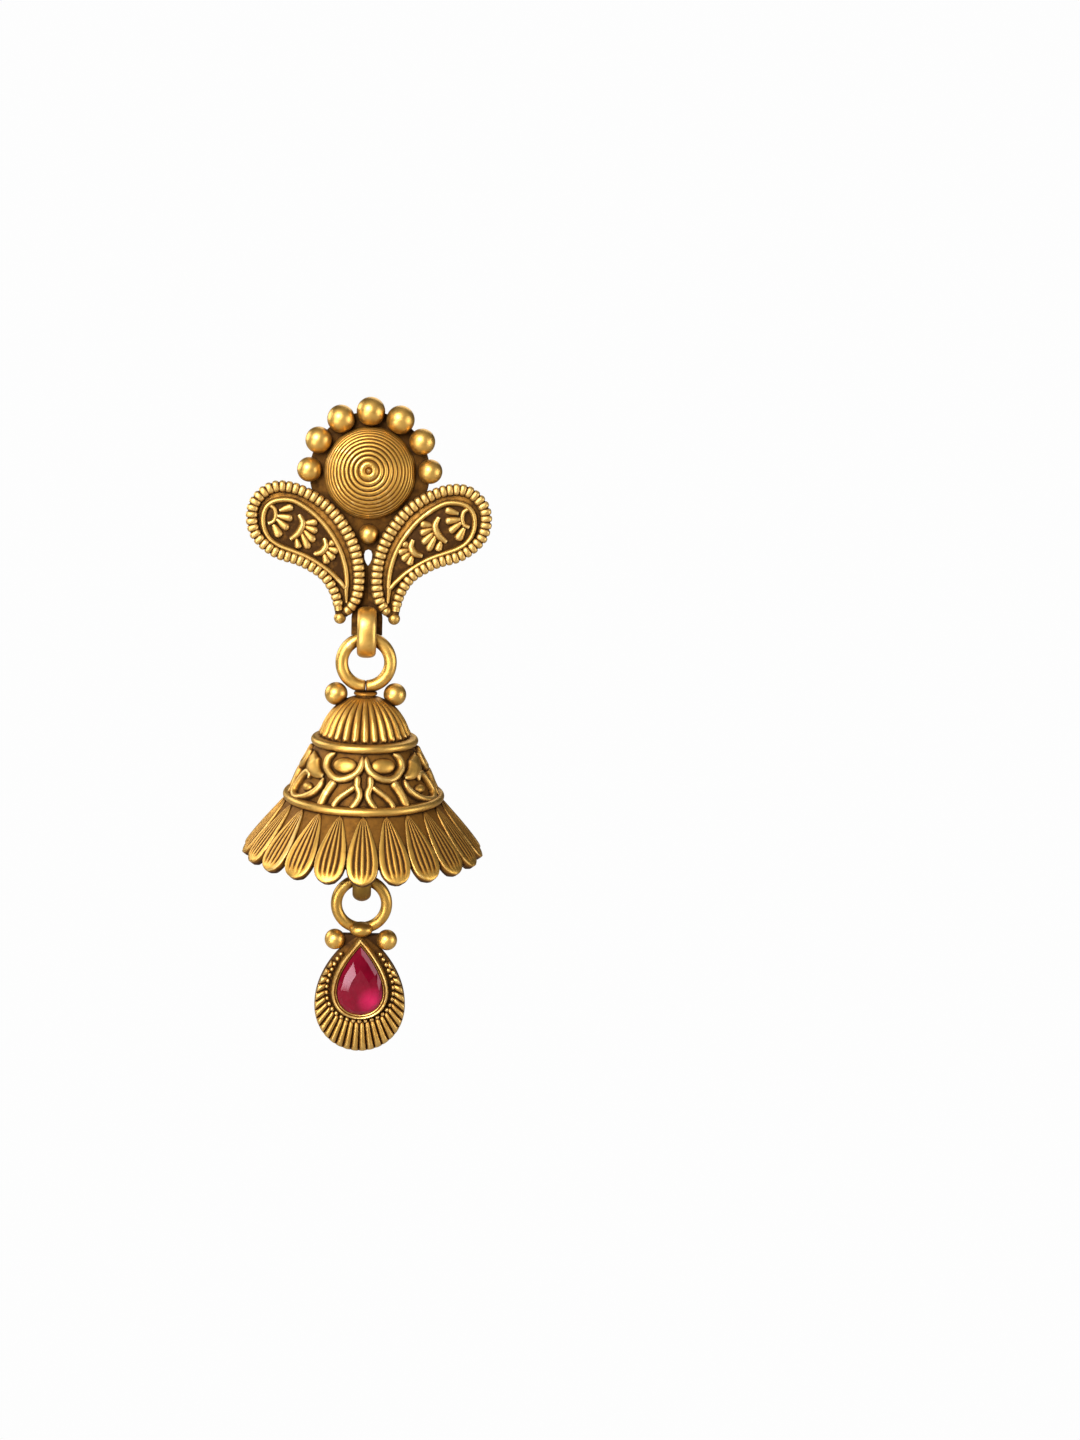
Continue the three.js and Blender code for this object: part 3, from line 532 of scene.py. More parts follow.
def new_finish(name):
    material = bpy.data.materials.new(name)
    material.use_nodes = True
    return material, material.node_tree, material.node_tree.nodes["Principled BSDF"]


def gold(name="antique gold"):
    """Worn gold plate: clean on top, with patina and painted shade in the recesses, rubbed pale along its
    edges.
    """
    found = bpy.data.materials.get(name)
    if found:
        return found
    look = bpy.context.scene.earring_finish
    reach, darkness, dull, painted_shade_scale, rub = GOLDS[name]
    material, tree, metal = new_finish(name)
    place = node(tree, "ShaderNodeTexCoord").outputs["Object"]
    clouds = noise(tree, place, 420.0, 3.0, 0.55)
    grain = noise(tree, place, 5200.0, 2.0, 0.6)
    pits = noise(tree, place, 1500.0, 4.0, 0.62)
    # Occlusion by the metal nearby paints shade into the recesses, over their patina
    hollow = node(tree, "ShaderNodeAmbientOcclusion", samples=8, only_local=False, Distance=reach * MM)
    uneven = spread(tree, pits, 0.3, 0.7, -0.12, 0.12)
    shaded = spread(tree, arithmetic(tree, "ADD", hollow.outputs["AO"], uneven), 0.95, 0.4, 0.0, darkness)
    # The stored share of patina and painted shade that each piece lays in its recesses
    given = node(tree, "ShaderNodeAttribute", attribute_name="dark").outputs["Fac"]
    laid = arithmetic(tree, "ADD", given, arithmetic(tree, "MULTIPLY", uneven, given))
    recess = arithmetic(tree, "MAXIMUM", shaded, laid)
    # The clean gold is darkened by this finish's scale of painted shade
    clean = tuple(painted_shade_scale * v for v in look.gold)
    tone = blended(tree, spread(tree, clouds, 0.35, 0.65), clean, tuple(0.82 * v for v in clean))
    edge = node(tree, "ShaderNodeNewGeometry").outputs["Pointiness"]
    worn = blended(tree, spread(tree, edge, 0.51, 0.58, 0.0, rub), tone, look.pale_gold)
    # Amber brown painted as shade where the recesses begin
    amber_painted_shade = blended(tree, spread(tree, recess, 0.0, 0.45), worn, look.painted_shade_amber)
    rough = spread(tree, pits, 0.3, 0.7, look.satin - 0.05 + dull, look.satin + 0.08 + dull)
    relief = arithmetic(tree, "ADD", grain, pits)
    bump = node(tree, "ShaderNodeBump", Strength=0.12, Distance=0.02 * MM, Height=relief)
    feed(
        tree, metal, Metallic=spread(tree, recess, 0.0, 1.0, 1.0, 0.6), Specular_IOR_Level=0.25,
        Base_Color=blended(tree, spread(tree, recess, 0.3, 0.85), amber_painted_shade, look.patina),
        Roughness=arithmetic(tree, "ADD", rough, arithmetic(tree, "MULTIPLY", recess, 0.3)),
        Normal=bump.outputs["Normal"],
    )
    return material


def ruby_glass():
    look = bpy.context.scene.earring_finish
    material, tree, glass = new_finish("ruby glass")
    place = node(tree, "ShaderNodeTexCoord").outputs["Object"]
    veil = spread(tree, noise(tree, place, 330.0, 3.0, 0.5), 0.35, 0.65)
    body = blended(tree, veil, look.ruby, tuple(0.5 * v for v in look.ruby))
    spot = tuple(MM * v for v in GLOW_SPOT)
    apart = node(tree, "ShaderNodeVectorMath", operation="DISTANCE", _0=place, _1=spot).outputs["Value"]
    glow = spread(tree, apart, 1.7 * MM, 0.2 * MM, 0.0, 0.9)
    feed(
        tree, glass, Base_Color=blended(tree, glow, body, look.ruby_glow), Roughness=0.05, IOR=1.65,
        Specular_IOR_Level=0.22, Specular_Tint=(1.0, 0.62, 0.72), Transmission_Weight=0.1,
    )
    return material


# Stud


def on_paisley(side, points, y):
    return facing_front(
        [(side * (WAIST_X + x * PAISLEY_WIDTH), PAISLEY_TIP_Z + z * PAISLEY_HEIGHT) for x, z in points], y
    )


def strap(metal, wire, width, thickness, height, pivot_z, soft=0.8):
    """An upright oval strap in the Y-Z plane that holds a ring's wire at the pivot."""
    radius = wire / 2 + STRAP_CLEARANCE * 2 + thickness / 2
    bottom = pivot_z - wire / 2 - STRAP_CLEARANCE + radius - thickness / 2
    top = bottom + height - thickness - 2 * radius
    path = []
    for middle, start in ((top, 0.0), (bottom, math.pi)):
        for turn in np.linspace(start, start + math.pi, 17):
            path.append((0, HANG_Y + radius * math.cos(turn), middle + radius * math.sin(turn)))
    metal.sweep(path, squarish(28, soft) * (thickness / 2, width / 2), up=(1, 0, 0), closed=True)


def open_ring(metal, diameter, wire, pivot_z, seam=0.0):
    """A wire ring across the earring, with a fine seam at its foot where it was bent shut."""
    radius = (diameter - wire) / 2
    count = 97
    turn = np.linspace(math.pi + seam / radius / 2, 3 * math.pi - seam / radius / 2, count)
    flat = np.stack([radius * np.sin(turn), pivot_z - radius + radius * np.cos(turn)], axis=1)
    path = facing_front(flat, HANG_Y)
    if not seam:
        metal.sweep(path[:-1], oval(wire, wire, 28), closed=True)
        return
    grow = np.ones((count, 1, 1))
    grow[[0, -1]] = 0.86
    near = np.interp(np.minimum(np.arange(count), np.arange(count)[::-1]), [0, 1, 2], [1.0, 0.4, 0.0])
    metal.sweep(path, oval(wire, wire, 28) * grow, dark=near[:, None])


class EARRING_OT_backing(bpy.types.Operator):
    """Make the stud's backplate with its keyhole, web and tab, and the strap that holds the ring"""

    bl_idname = "earring.backing"
    bl_label = "Backing"

    def execute(self, context):
        metal = Metal()
        thick = -PLATE_FACE
        radius = mm(sizes().crown_radius)
        disc = np.stack([radius * np.cos(turns(96)), radius * np.sin(turns(96))], axis=1)
        # The backplate's floor carries patina and painted shade
        metal.slab(disc, 0, thick, dark=0.75)
        for side in (-1, 1):
            edge = flowing(PAISLEY_EDGE, 90)[1:]
            metal.slab(on_paisley(side, edge, 0)[:, [0, 2]], -0.015, thick - 0.015, dark=0.6)
            self.web(metal, side, thick)
        show(metal.mesh("stud_backing"), "stud", "dark_gold", gold("backing gold"), "stud_plate")
        hoop = Metal()
        strap(hoop, mm(sizes().ring_wire), 1.9, 1.2, 5.1, UPPER_PIVOT_Z)
        show(hoop.mesh("hanging_strap", 60), "stud", "dark_gold", gold(), "stud_plate")
        return {"FINISHED"}

    def web(self, metal, side, thick):
        """Half of the tab, and half of the web between the paisleys with the keyhole under the granule."""
        top, foot, half = -7.45, -9.1, 0.4
        bulge = [(half * math.sin(a), top + (foot - top) * b) for a, b in
                 ((0.0, 0.0), (0.8, 0.08), (math.pi / 2, 0.3), (1.1, 0.6), (0.5, 0.85), (0.0, 1.0))]
        tab = UPPER_PIVOT_Z + 0.12
        low = [(0, tab), (1.55, tab), (1.55, PAISLEY_TIP_Z), (WAIST_X, foot)]
        outline = [(0, -4.9), *bulge, *low, (3.2, -4.9)]
        metal.slab([(side * x, z) for x, z in outline], -0.03, thick - 0.06, 0.05, dark=0.8)


class EARRING_OT_granules(bpy.types.Operator):
    """Set the seven granules of the crown and the one below the dome"""

    bl_idname = "earring.granules"
    bl_label = "Granules"

    def execute(self, context):
        s = sizes()
        radius = mm(s.crown_radius)
        places = []
        for i, part in enumerate((0.85, 0.92, 0.97, 1, 0.97, 0.92, 0.85)):
            turn = math.radians(175) * (i / 6 - 0.5)
            size = part * mm(s.granule)
            places.append(((radius * math.sin(turn), -size / 2, radius * math.cos(turn)), size))
        keel = 1.95
        places.append(((0, -keel / 2, -(mm(s.dome_width) / 2 + 0.45 + keel / 2)), keel))
        grains("crown_granules", places, "stud", "dark_gold", "stud_plate", 0.012)
        return {"FINISHED"}


class EARRING_OT_dome(bpy.types.Operator):
    """Turn the coiled dome with its pointed button"""

    bl_idname = "earring.dome"
    bl_label = "Coiled dome"

    def execute(self, context):
        s = sizes()
        half = mm(s.dome_width) / 2
        height = mm(s.dome_height)
        button = 0.23
        t = np.linspace(0, math.pi / 2, 260)
        along = half * np.sin(t)
        bulge = height * np.cos(t) ** 1.2
        phase = np.clip((t - button) / (math.pi / 2 - button), 0, 1) * s.dome_coils
        ridge = np.abs(np.sin(math.pi * phase)) ** 0.7
        depth = np.interp(along, [0, half * 0.3, half * 0.9, half], [0.17, 0.16, 0.12, 0.06])
        rise = -depth * (1 - ridge)
        nub = np.interp(along, [0, 0.1, 0.2, 0.27, 0.33, 0.42, 0.52, 0.66, 0.8, 0.9, 1.0],
                        [0.16, 0.1, -0.04, -0.2, -0.16, -0.05, -0.02, -0.0, -0.03, -0.1, -0.17])
        rise = np.where(t < button, nub, rise)
        # The grooves and the ring round the button carry patina and painted shade
        dark = np.where(t < button, np.clip(-nub * 5 - 0.25, 0, 1), np.clip((1 - ridge) * 2.0 - 0.3, 0, 1))
        dark *= np.interp(along / half, [0, 0.3, 0.7, 1], [1, 0.95, 0.85, 0.8])
        slope = np.gradient(bulge, along + 1e-6)
        flat = 1 / np.sqrt(1 + np.minimum(slope**2, 40))
        radii = np.maximum(along + rise * np.sqrt(1 - flat**2), 0.002)
        heights = np.maximum(bulge + rise * flat, 0)
        profile = [(0.002, 0.0), (half * 0.6, 0.0), *zip(radii[::-1], heights[::-1])]
        metal = Metal()
        metal.turned([(r, h - PLATE_FACE) for r, h in profile], 144, axis="Y",
                     dark=np.asarray([0.5, 0.5, *dark[::-1]])[:, None])
        points = metal.points[0]
        lift = np.maximum(-points[:, 1] + PLATE_FACE, 0) / height
        points[:, 0] -= 0.12 * lift
        points[:, 2] += 0.32 * lift**1.5
        show(metal.mesh("wire_dome", 70), "stud", "gold", gold("coil gold"), "coiled_dome")
        return {"FINISHED"}


class EARRING_OT_paisleys(bpy.types.Operator):
    """Make both paisley panels: floor, inner wire, blossoms and grained rope"""

    bl_idname = "earring.paisleys"
    bl_label = "Paisleys"

    def execute(self, context):
        for side, word in ((-1, "left"), (1, "right")):
            self.panel(side, word)
            self.rope(side, "paisley_" + word, mm(sizes().rope), mm(sizes().rope_pitch))
        return {"FINISHED"}

    def panel(self, side, word):
        metal = Metal()
        thick = PLATE_FACE - PANEL_FACE
        edge = flowing(PAISLEY_EDGE, 90)[1:]
        # The panel's floor carries patina and painted shade around its wire and blossoms
        metal.slab(on_paisley(side, edge, 0)[:, [0, 2]], PLATE_FACE, thick, 0.05, dark=0.3)
        wire = flowing(PAISLEY_WIRE, 90, closed=True)
        metal.slab(on_paisley(side, wire, 0)[:, [0, 2]], PLATE_FACE, thick + 0.04, 0.02, dark=0.85)
        loop = on_paisley(side, flowing(PAISLEY_WIRE, 140, closed=True), PANEL_FACE)
        metal.bead(loop, 0.56, 0.5, 0.2, closed=True, sides=11, dark=0.4)
        tail = flowing([(0.115, 0.29), (0.116, 0.24), (0.114, 0.18), (0.108, 0.12)], 16)
        taper = np.interp(np.arange(17), [0, 5, 16], [0.7, 1.15, 0.8])
        metal.bead(on_paisley(side, tail, PANEL_FACE), 0.5, 0.42, 0.2, taper, sides=11, dark=0.8)
        spots = np.linspace(0, 1, 13)[:, None]
        leafy = np.interp(spots[:, 0], [0, 0.3, 0.7, 0.88, 0.96, 1], [0.5, 0.8, 1.0, 0.9, 0.6, 0.15])
        for i, (arc, petals) in enumerate(BLOSSOMS):
            swell = 0.62 if i == 0 else 0.6 + 0.4 * np.sin(np.linspace(0, math.pi, 17))
            metal.bead(on_paisley(side, flowing(arc, 16), PANEL_FACE), 0.78, 0.62, 0.15, swell)
            for j, ends in enumerate(petals):
                root, tip = on_paisley(side, ends, PANEL_FACE)
                wide = 1.0 if (i, j) == (0, 3) else 0.84
                metal.bead(root * (1 - spots) + tip * spots, wide, 0.5, 0.12, leafy, 0.35)
        show(metal.mesh("panel_" + word, 50), "stud", "gold", gold("panel gold"), "paisley_" + word)

    def rope(self, side, name, rope, pitch):
        y = PANEL_FACE - rope * 0.1
        path = on_paisley(side, flowing(PAISLEY_EDGE, 400), y)
        along = travelled(path)
        total = along[-1]
        plain = 1.3
        core = Metal()
        core.sweep(path[6:], oval(rope * 0.74, rope * 0.74, 12), dark=0.85)
        bare = along > total - plain
        bare[-8:] = False
        core.sweep(path[bare], oval(rope * 0.78, rope * 0.84, 20))
        tip = on_paisley(side, [PAISLEY_EDGE[0]], y)[0]
        core.ball(tip, 1.2)
        core.ball(path[np.searchsorted(along, 1.0)], rope * 0.9, 28, 16)
        finish = gold("rope gold")
        show(core.mesh(name + "_cord", 60), "stud", "gold", finish, name)
        start, stop = 1.68, total - plain - 0.2
        count = round((stop - start) / pitch)
        places = []
        shares = [0, 0.08, 0.25, 0.42, 0.6, 0.85, 1]
        for at in np.linspace(start, stop, count):
            spot = at_distance(at, along, path)
            ahead = at_distance(at + 0.05, along, path)
            lean = math.atan2(ahead[0] - spot[0], ahead[2] - spot[2])
            wide = rope * np.interp(at / total, shares, [0.9, 1.04, 1.1, 0.98, 1.06, 1.04, 0.9])
            places.append((spot, (0, lean, 0), (wide, rope * 0.98, (stop - start) / count)))
        unit = Metal()
        flat = squarish(20, 0.72)
        rows = [(-0.48, 0.7), (-0.4, 0.88), (-0.2, 0.98), (0, 1.0), (0.2, 0.98), (0.4, 0.88), (0.48, 0.7)]
        # The gaps between grains carry patina and painted shade
        unit.skin(
            [np.column_stack([r / 2 * flat, np.full(20, z)]) for z, r in rows],
            dark=np.asarray([0.8, 0.15, 0, 0, 0, 0.15, 0.8])[:, None],
        )
        made = repeated(name + "_grains", unit, places, finish, 0.015, 11)
        show(made, "stud", "gold", finish, name)


class EARRING_OT_post(bpy.types.Operator):
    """Turn the ear post with its foot and the clutch's groove"""

    bl_idname = "earring.post"
    bl_label = "Ear post"

    def execute(self, context):
        profile = [
            (1.3, 0.0), (1.3, 0.34), (1.2, 0.48), (0.62, 0.5), (0.48, 0.62), (0.45, 0.8), (0.45, 8.7),
            (0.37, 8.85), (0.35, 9.1), (0.37, 9.35), (0.45, 9.5), (0.45, 10.6), (0.36, 10.86), (0.18, 10.97),
            (0.02, 11.0),
        ]
        metal = Metal()
        metal.turned([(r, -h) for r, h in profile], 40, axis="Y")
        show(metal.mesh("post_and_foot"), "stud", "post_gold", gold("post gold"), "ear_post")
        return {"FINISHED"}


# Bell


def about_bell(metal):
    """Moves what was shaped about the Z axis on to the bell's own axis."""
    for points in metal.points:
        points[:, 1] += HANG_Y
    return metal


def rim(metal, radius, z, wall_radius):
    half = mm(sizes().rim_wire) / 2
    turn = np.linspace(-math.pi / 2, math.pi / 2, 15)
    round_side = [(radius - half + half * math.cos(a), z + half + half * math.sin(a)) for a in turn]
    metal.hoop([(wall_radius, z), *round_side, (wall_radius, z + 2 * half)], 144)


class EARRING_OT_cap(bpy.types.Operator):
    """Make the bell's fluted cap with its rim, collar, granules and ring"""

    bl_idname = "earring.cap"
    bl_label = "Bell cap"

    def execute(self, context):
        s = sizes()
        metal = Metal()
        radius, height = 4.65, CAP_TOP_Z - CAP_SEAT_Z
        flutes = s.cap_flutes
        lean = np.linspace(0.03, math.pi / 2, 44)
        outer = [(radius * math.sin(a), CAP_SEAT_Z + height * math.cos(a)) for a in lean]
        inner_radius = radius - 1.0
        inner = [
            (inner_radius * math.cos(a), CAP_SEAT_Z + (height - 1.6) * math.sin(a))
            for a in np.linspace(0, 1.4, 12)
        ]
        above = np.array([z - CAP_SEAT_Z for _, z in outer])
        fade = np.clip((lean - 0.16) / 0.4, 0, 1)
        low = np.clip((0.98 - above) / 0.12, 0, 1)
        bulge = 0.022 * np.exp(-(((above - 1.22) / 0.28) ** 2))

        def wave(i, turn):
            if i >= len(outer):
                return np.ones_like(turn)
            ridge = np.abs(np.cos(flutes * turn / 2)) ** 1.15
            groove = 0.085 * fade[i] * (1 - ridge) * (1 - low[i])
            return 1 - groove - 0.05 * low[i] + bulge[i] * ridge * fade[i]

        turn = turns(flutes * 12)
        groove = np.clip(1.15 - 1.6 * np.abs(np.cos(flutes * turn / 2)), 0, 1)
        # The grooves between flutes and the low band carry patina and painted shade
        dark = np.full((len(outer) + len(inner), len(turn)), 0.9)
        dark[: len(outer)] = np.maximum(fade[:, None] * groove[None, :], 0.8 * low[:, None])
        metal.turned([*outer, *inner], flutes * 12, wave=wave, dark=dark)
        rim(metal, 5.38, CAP_SEAT_Z, radius - 0.6)
        collar = [
            (0.02, CAP_TOP_Z - 0.8), (1.0, CAP_TOP_Z - 0.8), (1.0, CAP_TOP_Z + 0.02), (1.14, CAP_TOP_Z + 0.06),
            (1.18, CAP_TOP_Z + 0.16), (1.14, COLLAR_TOP_Z - 0.06), (1.02, COLLAR_TOP_Z), (0.02, COLLAR_TOP_Z),
        ]
        metal.turned(collar, 48, dark=0.45)
        about_bell(metal)
        show(metal.mesh("fluted_cap", 50), "bell", "gold", gold("cap gold"), "bell_cap")
        ring = Metal()
        open_ring(ring, 6.1, mm(s.ring_wire), UPPER_PIVOT_Z, 0.03)
        show(ring.mesh("upper_ring", 50), "bell", "gold", gold(), "bell_cap")
        size, apart = 2.28, 2.925
        shoulder = CAP_SEAT_Z + height * math.sqrt(1 - (apart / radius) ** 2) + size * 0.52
        places = [((side * apart, HANG_Y, shoulder), size) for side in (-1, 1)]
        places += [((side * 2.4, HANG_Y, shoulder - 0.8), 0.9) for side in (-1, 1)]
        grains("shoulder_granules", places, "bell", "gold", "bell_cap")
        return {"FINISHED"}


def on_frieze(points):
    """Places on the frieze's wall and the ways that stand square off it."""
    p = np.asarray(points, float)
    about = np.radians(p[:, 0])
    radius = FRIEZE_TOP_RADIUS + (FRIEZE_FOOT_RADIUS - FRIEZE_TOP_RADIUS) * p[:, 1]
    spots = about_axis(about, radius, CAP_SEAT_Z - p[:, 1] * FRIEZE_HEIGHT)
    out = about_axis(about, math.cos(FRIEZE_SLOPE), math.sin(FRIEZE_SLOPE))
    return spots, out


class EARRING_OT_frieze(bpy.types.Operator):
    """Make the conical frieze with its raised scrolls, leaves and buds"""

    bl_idname = "earring.frieze"
    bl_label = "Frieze"

    def execute(self, context):
        metal = Metal()
        wall = 0.885
        # The frieze's wall carries patina and painted shade between its scrolls
        metal.hoop([
            (FRIEZE_TOP_RADIUS - wall, CAP_SEAT_Z), (FRIEZE_TOP_RADIUS, CAP_SEAT_Z),
            (FRIEZE_FOOT_RADIUS, FRIEZE_SEAT_Z), (FRIEZE_FOOT_RADIUS - wall, FRIEZE_SEAT_Z),
        ], 144, dark=0.64)
        rim(metal, SKIRT_RIM_RADIUS, FRIEZE_SEAT_Z, FRIEZE_FOOT_RADIUS - wall / 2)
        ends = np.minimum(np.arange(31), np.arange(31)[::-1])
        blunt = np.interp(ends, [0, 1, 2, 4], [0.35, 0.7, 0.9, 1.0])
        leafy = np.interp(np.linspace(0, 1, 25), [0, 0.25, 0.6, 0.85, 1], [0.25, 0.55, 1, 0.7, 0.1])
        for turn in (0, 180):
            for mirror in (-1, 1):
                for width, line in SCROLLS:
                    self.strand(metal, line, 0.8 * width, blunt, 0.4, 9, mirror, turn)
                self.strand(metal, LEAF, 2.2, leafy, 0.5, 13, mirror, turn)
                for about, down, *size in BOSSES:
                    self.bud(metal, (mirror * about + turn, down), size)
            for about, down, *size in MIDDLE_BOSSES:
                self.bud(metal, (about + turn, down), size)
        about_bell(metal)
        show(metal.mesh("scroll_frieze", 50), "bell", "gold", gold("frieze gold"), "bell_frieze")
        return {"FINISHED"}

    def strand(self, metal, line, width, swell, thin, sides, mirror, turn):
        """A raised line on the wall. It is smoothed with its way down counted in degrees of like length."""
        points = [(mirror * degrees, down * DEGREES_DOWN) for degrees, down in line]
        bent = flowing(points, len(swell) - 1)
        spots, out = on_frieze([(degrees + turn, down / DEGREES_DOWN) for degrees, down in bent])
        metal.bead(spots, width, mm(sizes().relief), 0.15, swell, thin, out, sides=sides, dark=0.6)

    def bud(self, metal, middle, size):
        """A low oval boss; size is its width, its height down the wall, and how far it stands out."""
        spots, out = on_frieze([middle])
        about = math.radians(middle[0])
        across = np.array([math.cos(about), math.sin(about), 0.0])
        turned = np.stack([across, np.cross(across, out[0]), out[0]])
        boss = Metal()
        boss.ball((0, 0, 0), (size[0], size[1], size[2] * 2), 32, 16)
        rim_share = 1 - boss.points[0][:, 2] / size[2]
        metal.add(boss.points[0] @ turned + spots[0], boss.faces, np.clip(rim_share * 2.2 - 1.3, 0, 1))


class EARRING_OT_skirt(bpy.types.Operator):
    """Make the petal skirt and its backing"""

    bl_idname = "earring.skirt"
    bl_label = "Petal skirt"

    def execute(self, context):
        s = sizes()
        root_radius = SKIRT_RIM_RADIUS - 0.42
        drop, out = 5.45, 12.1 - root_radius
        reach = math.hypot(drop, out)
        slope = np.array([out, -drop]) / reach
        rise = np.array([-slope[1], slope[0]])

        def at(along, off):
            return tuple(np.array([root_radius, FRIEZE_SEAT_Z]) + slope * along + rise * off)

        backing = Metal()
        wall = 0.8
        # The backing behind the petals carries patina and painted shade
        backing.hoop([
            (root_radius - 1.0, FRIEZE_SEAT_Z), (root_radius, FRIEZE_SEAT_Z), at(reach * 0.74, 0),
            at(reach * 0.76, -0.3), at(reach * 0.74, -wall),
        ], 176, dark=0.66)
        about_bell(backing)
        finish = gold("skirt gold")
        show(backing.mesh("skirt_backing"), "bell", "gold", finish, "petal_skirt")
        petal = self.petal(mm(s.petal_width), reach)
        lean = math.atan2(slope[0], -slope[1])
        places = []
        for i in range(s.petals):
            turn = TURN * i / s.petals
            spot = (root_radius * math.sin(turn), HANG_Y - root_radius * math.cos(turn), FRIEZE_SEAT_Z)
            facing = (Matrix.Rotation(turn, 3, "Z") @ Matrix.Rotation(-lean, 3, "X")).to_euler()
            places.append((spot, tuple(facing), (1, 1, 1)))
        made = repeated("petals", petal, places, finish, 0.006, 3)
        show(made, "bell", "gold", finish, "petal_skirt")
        return {"FINISHED"}

    def petal(self, width, reach):
        """One petal that hangs along -Z with its face to -Y, four grooves in it and a thick rounded tip."""
        root = [(0, 0.03), (0.08, 0.26), (0.3, 0.62), (0.52, 0.9)]
        tip = [(0.7, 1.0), (0.84, 0.92), (0.94, 0.66), (1, 0.2)]
        outline = flowing([*root, *tip], 80)
        along = np.concatenate([np.linspace(0, 0.9, 20), np.linspace(0.925, 1, 7)])
        half = np.interp(along, outline[:, 0], outline[:, 1])
        half[-1] = 0.16
        u = np.linspace(-1, 1, 57)
        grooves = sum(np.exp(-(((u - c) / 0.11) ** 2)) for c in (-0.54, -0.19, 0.19, 0.54))
        face = np.sqrt(np.maximum(0, 1 - u**2 * 0.9)) * 0.62
        rings = []
        dark = []
        for a, w in zip(along, half):
            lift = 0.5 * (0.35 + 0.65 * w)
            carve = np.interp(a, [0, 0.06, 0.84, 0.92, 1], [0.3, 1, 1, 0.1, 0.0])
            top = lift * (0.25 + face * 0.75 - grooves * 0.22 * carve * min(1, w / 0.45))
            top[[0, -1]] = lift * 0.1
            x = u * w * width / 2
            upper = np.stack([x, -top, np.full(57, -a * reach)], axis=1)
            deep = 0.75 * np.interp(a, [0, 0.96, 1], [1, 0.9, 0.6])
            sides = [(1, 0.5), (0.8, 1), (0, 1), (-0.8, 1), (-1, 0.5)]
            under = [(w * width / 2 * across, deep * behind, -a * reach) for across, behind in sides]
            rings.append(np.vstack([upper, under]))
            # The grooves and the hidden underside carry patina and painted shade
            low = np.clip(1.5 * grooves - 0.2, 0, 1) * np.interp(a, [0, 0.08, 0.84, 0.92], [0.2, 1, 0.9, 0])
            low[[0, -1]] = 0.6
            dark.append([*low, *[0.9] * 5])
        petal = Metal()
        petal.skin(rings, dark=dark)
        return petal


class EARRING_OT_hook(bpy.types.Operator):
    """Make the hook that hangs inside the bell"""

    bl_idname = "earring.hook"
    bl_label = "Inner hook"

    def execute(self, context):
        metal = Metal()
        thick, tall = 1.5, 4.9
        strap(metal, LOWER_WIRE, 1.9, thick, tall, LOWER_PIVOT_Z, 1.0)
        ceiling = CAP_TOP_Z - 1.28
        hoop_top = LOWER_PIVOT_Z - LOWER_WIRE / 2 - STRAP_CLEARANCE - thick + tall
        stem = [(0.02, hoop_top - 0.6), (0.6, hoop_top - 0.6), (0.6, ceiling - 0.8), (0.72, ceiling - 0.55),
                (1.2, ceiling - 0.42), (1.2, ceiling), (0.02, ceiling)]
        part = Metal()
        part.turned(stem, 40)
        about_bell(part)
        metal.add(part.points[0], part.faces)
        show(metal.mesh("hook_in_bell", 50), "bell", "dark_gold", gold("hook gold"), "inner_hook")
        return {"FINISHED"}


# Drop


def pear(part, width, height, top_z, fullness=1.0, lift=1.0):
    """Places on a pear outline with its point up, as (x, z), for shares of the way round from the point."""
    turn = TURN * np.asarray(part, float)
    peak = (1 + fullness) / (2 + fullness)
    widest = 2 * math.sqrt(peak * (1 - peak)) * peak ** (fullness / 2)
    swell = np.sin(turn) * np.sin(turn / 2) ** fullness
    return np.stack(
        [width / 2 * swell / widest, top_z - height * ((1 - np.cos(turn)) / 2) ** lift], axis=-1
    )


def around_bezel(part, margin):
    at_point = margin * 1.3
    return pear(part, BEZEL_WIDTH + 2 * margin, BEZEL_HEIGHT + margin + at_point, DROP_TOP_Z + at_point)


def fan_edge(part, margin=0.0):
    return pear(part, 9.4 + 2 * margin, 12.6 + margin, DROP_TOP_Z, 0.95, 1.22)


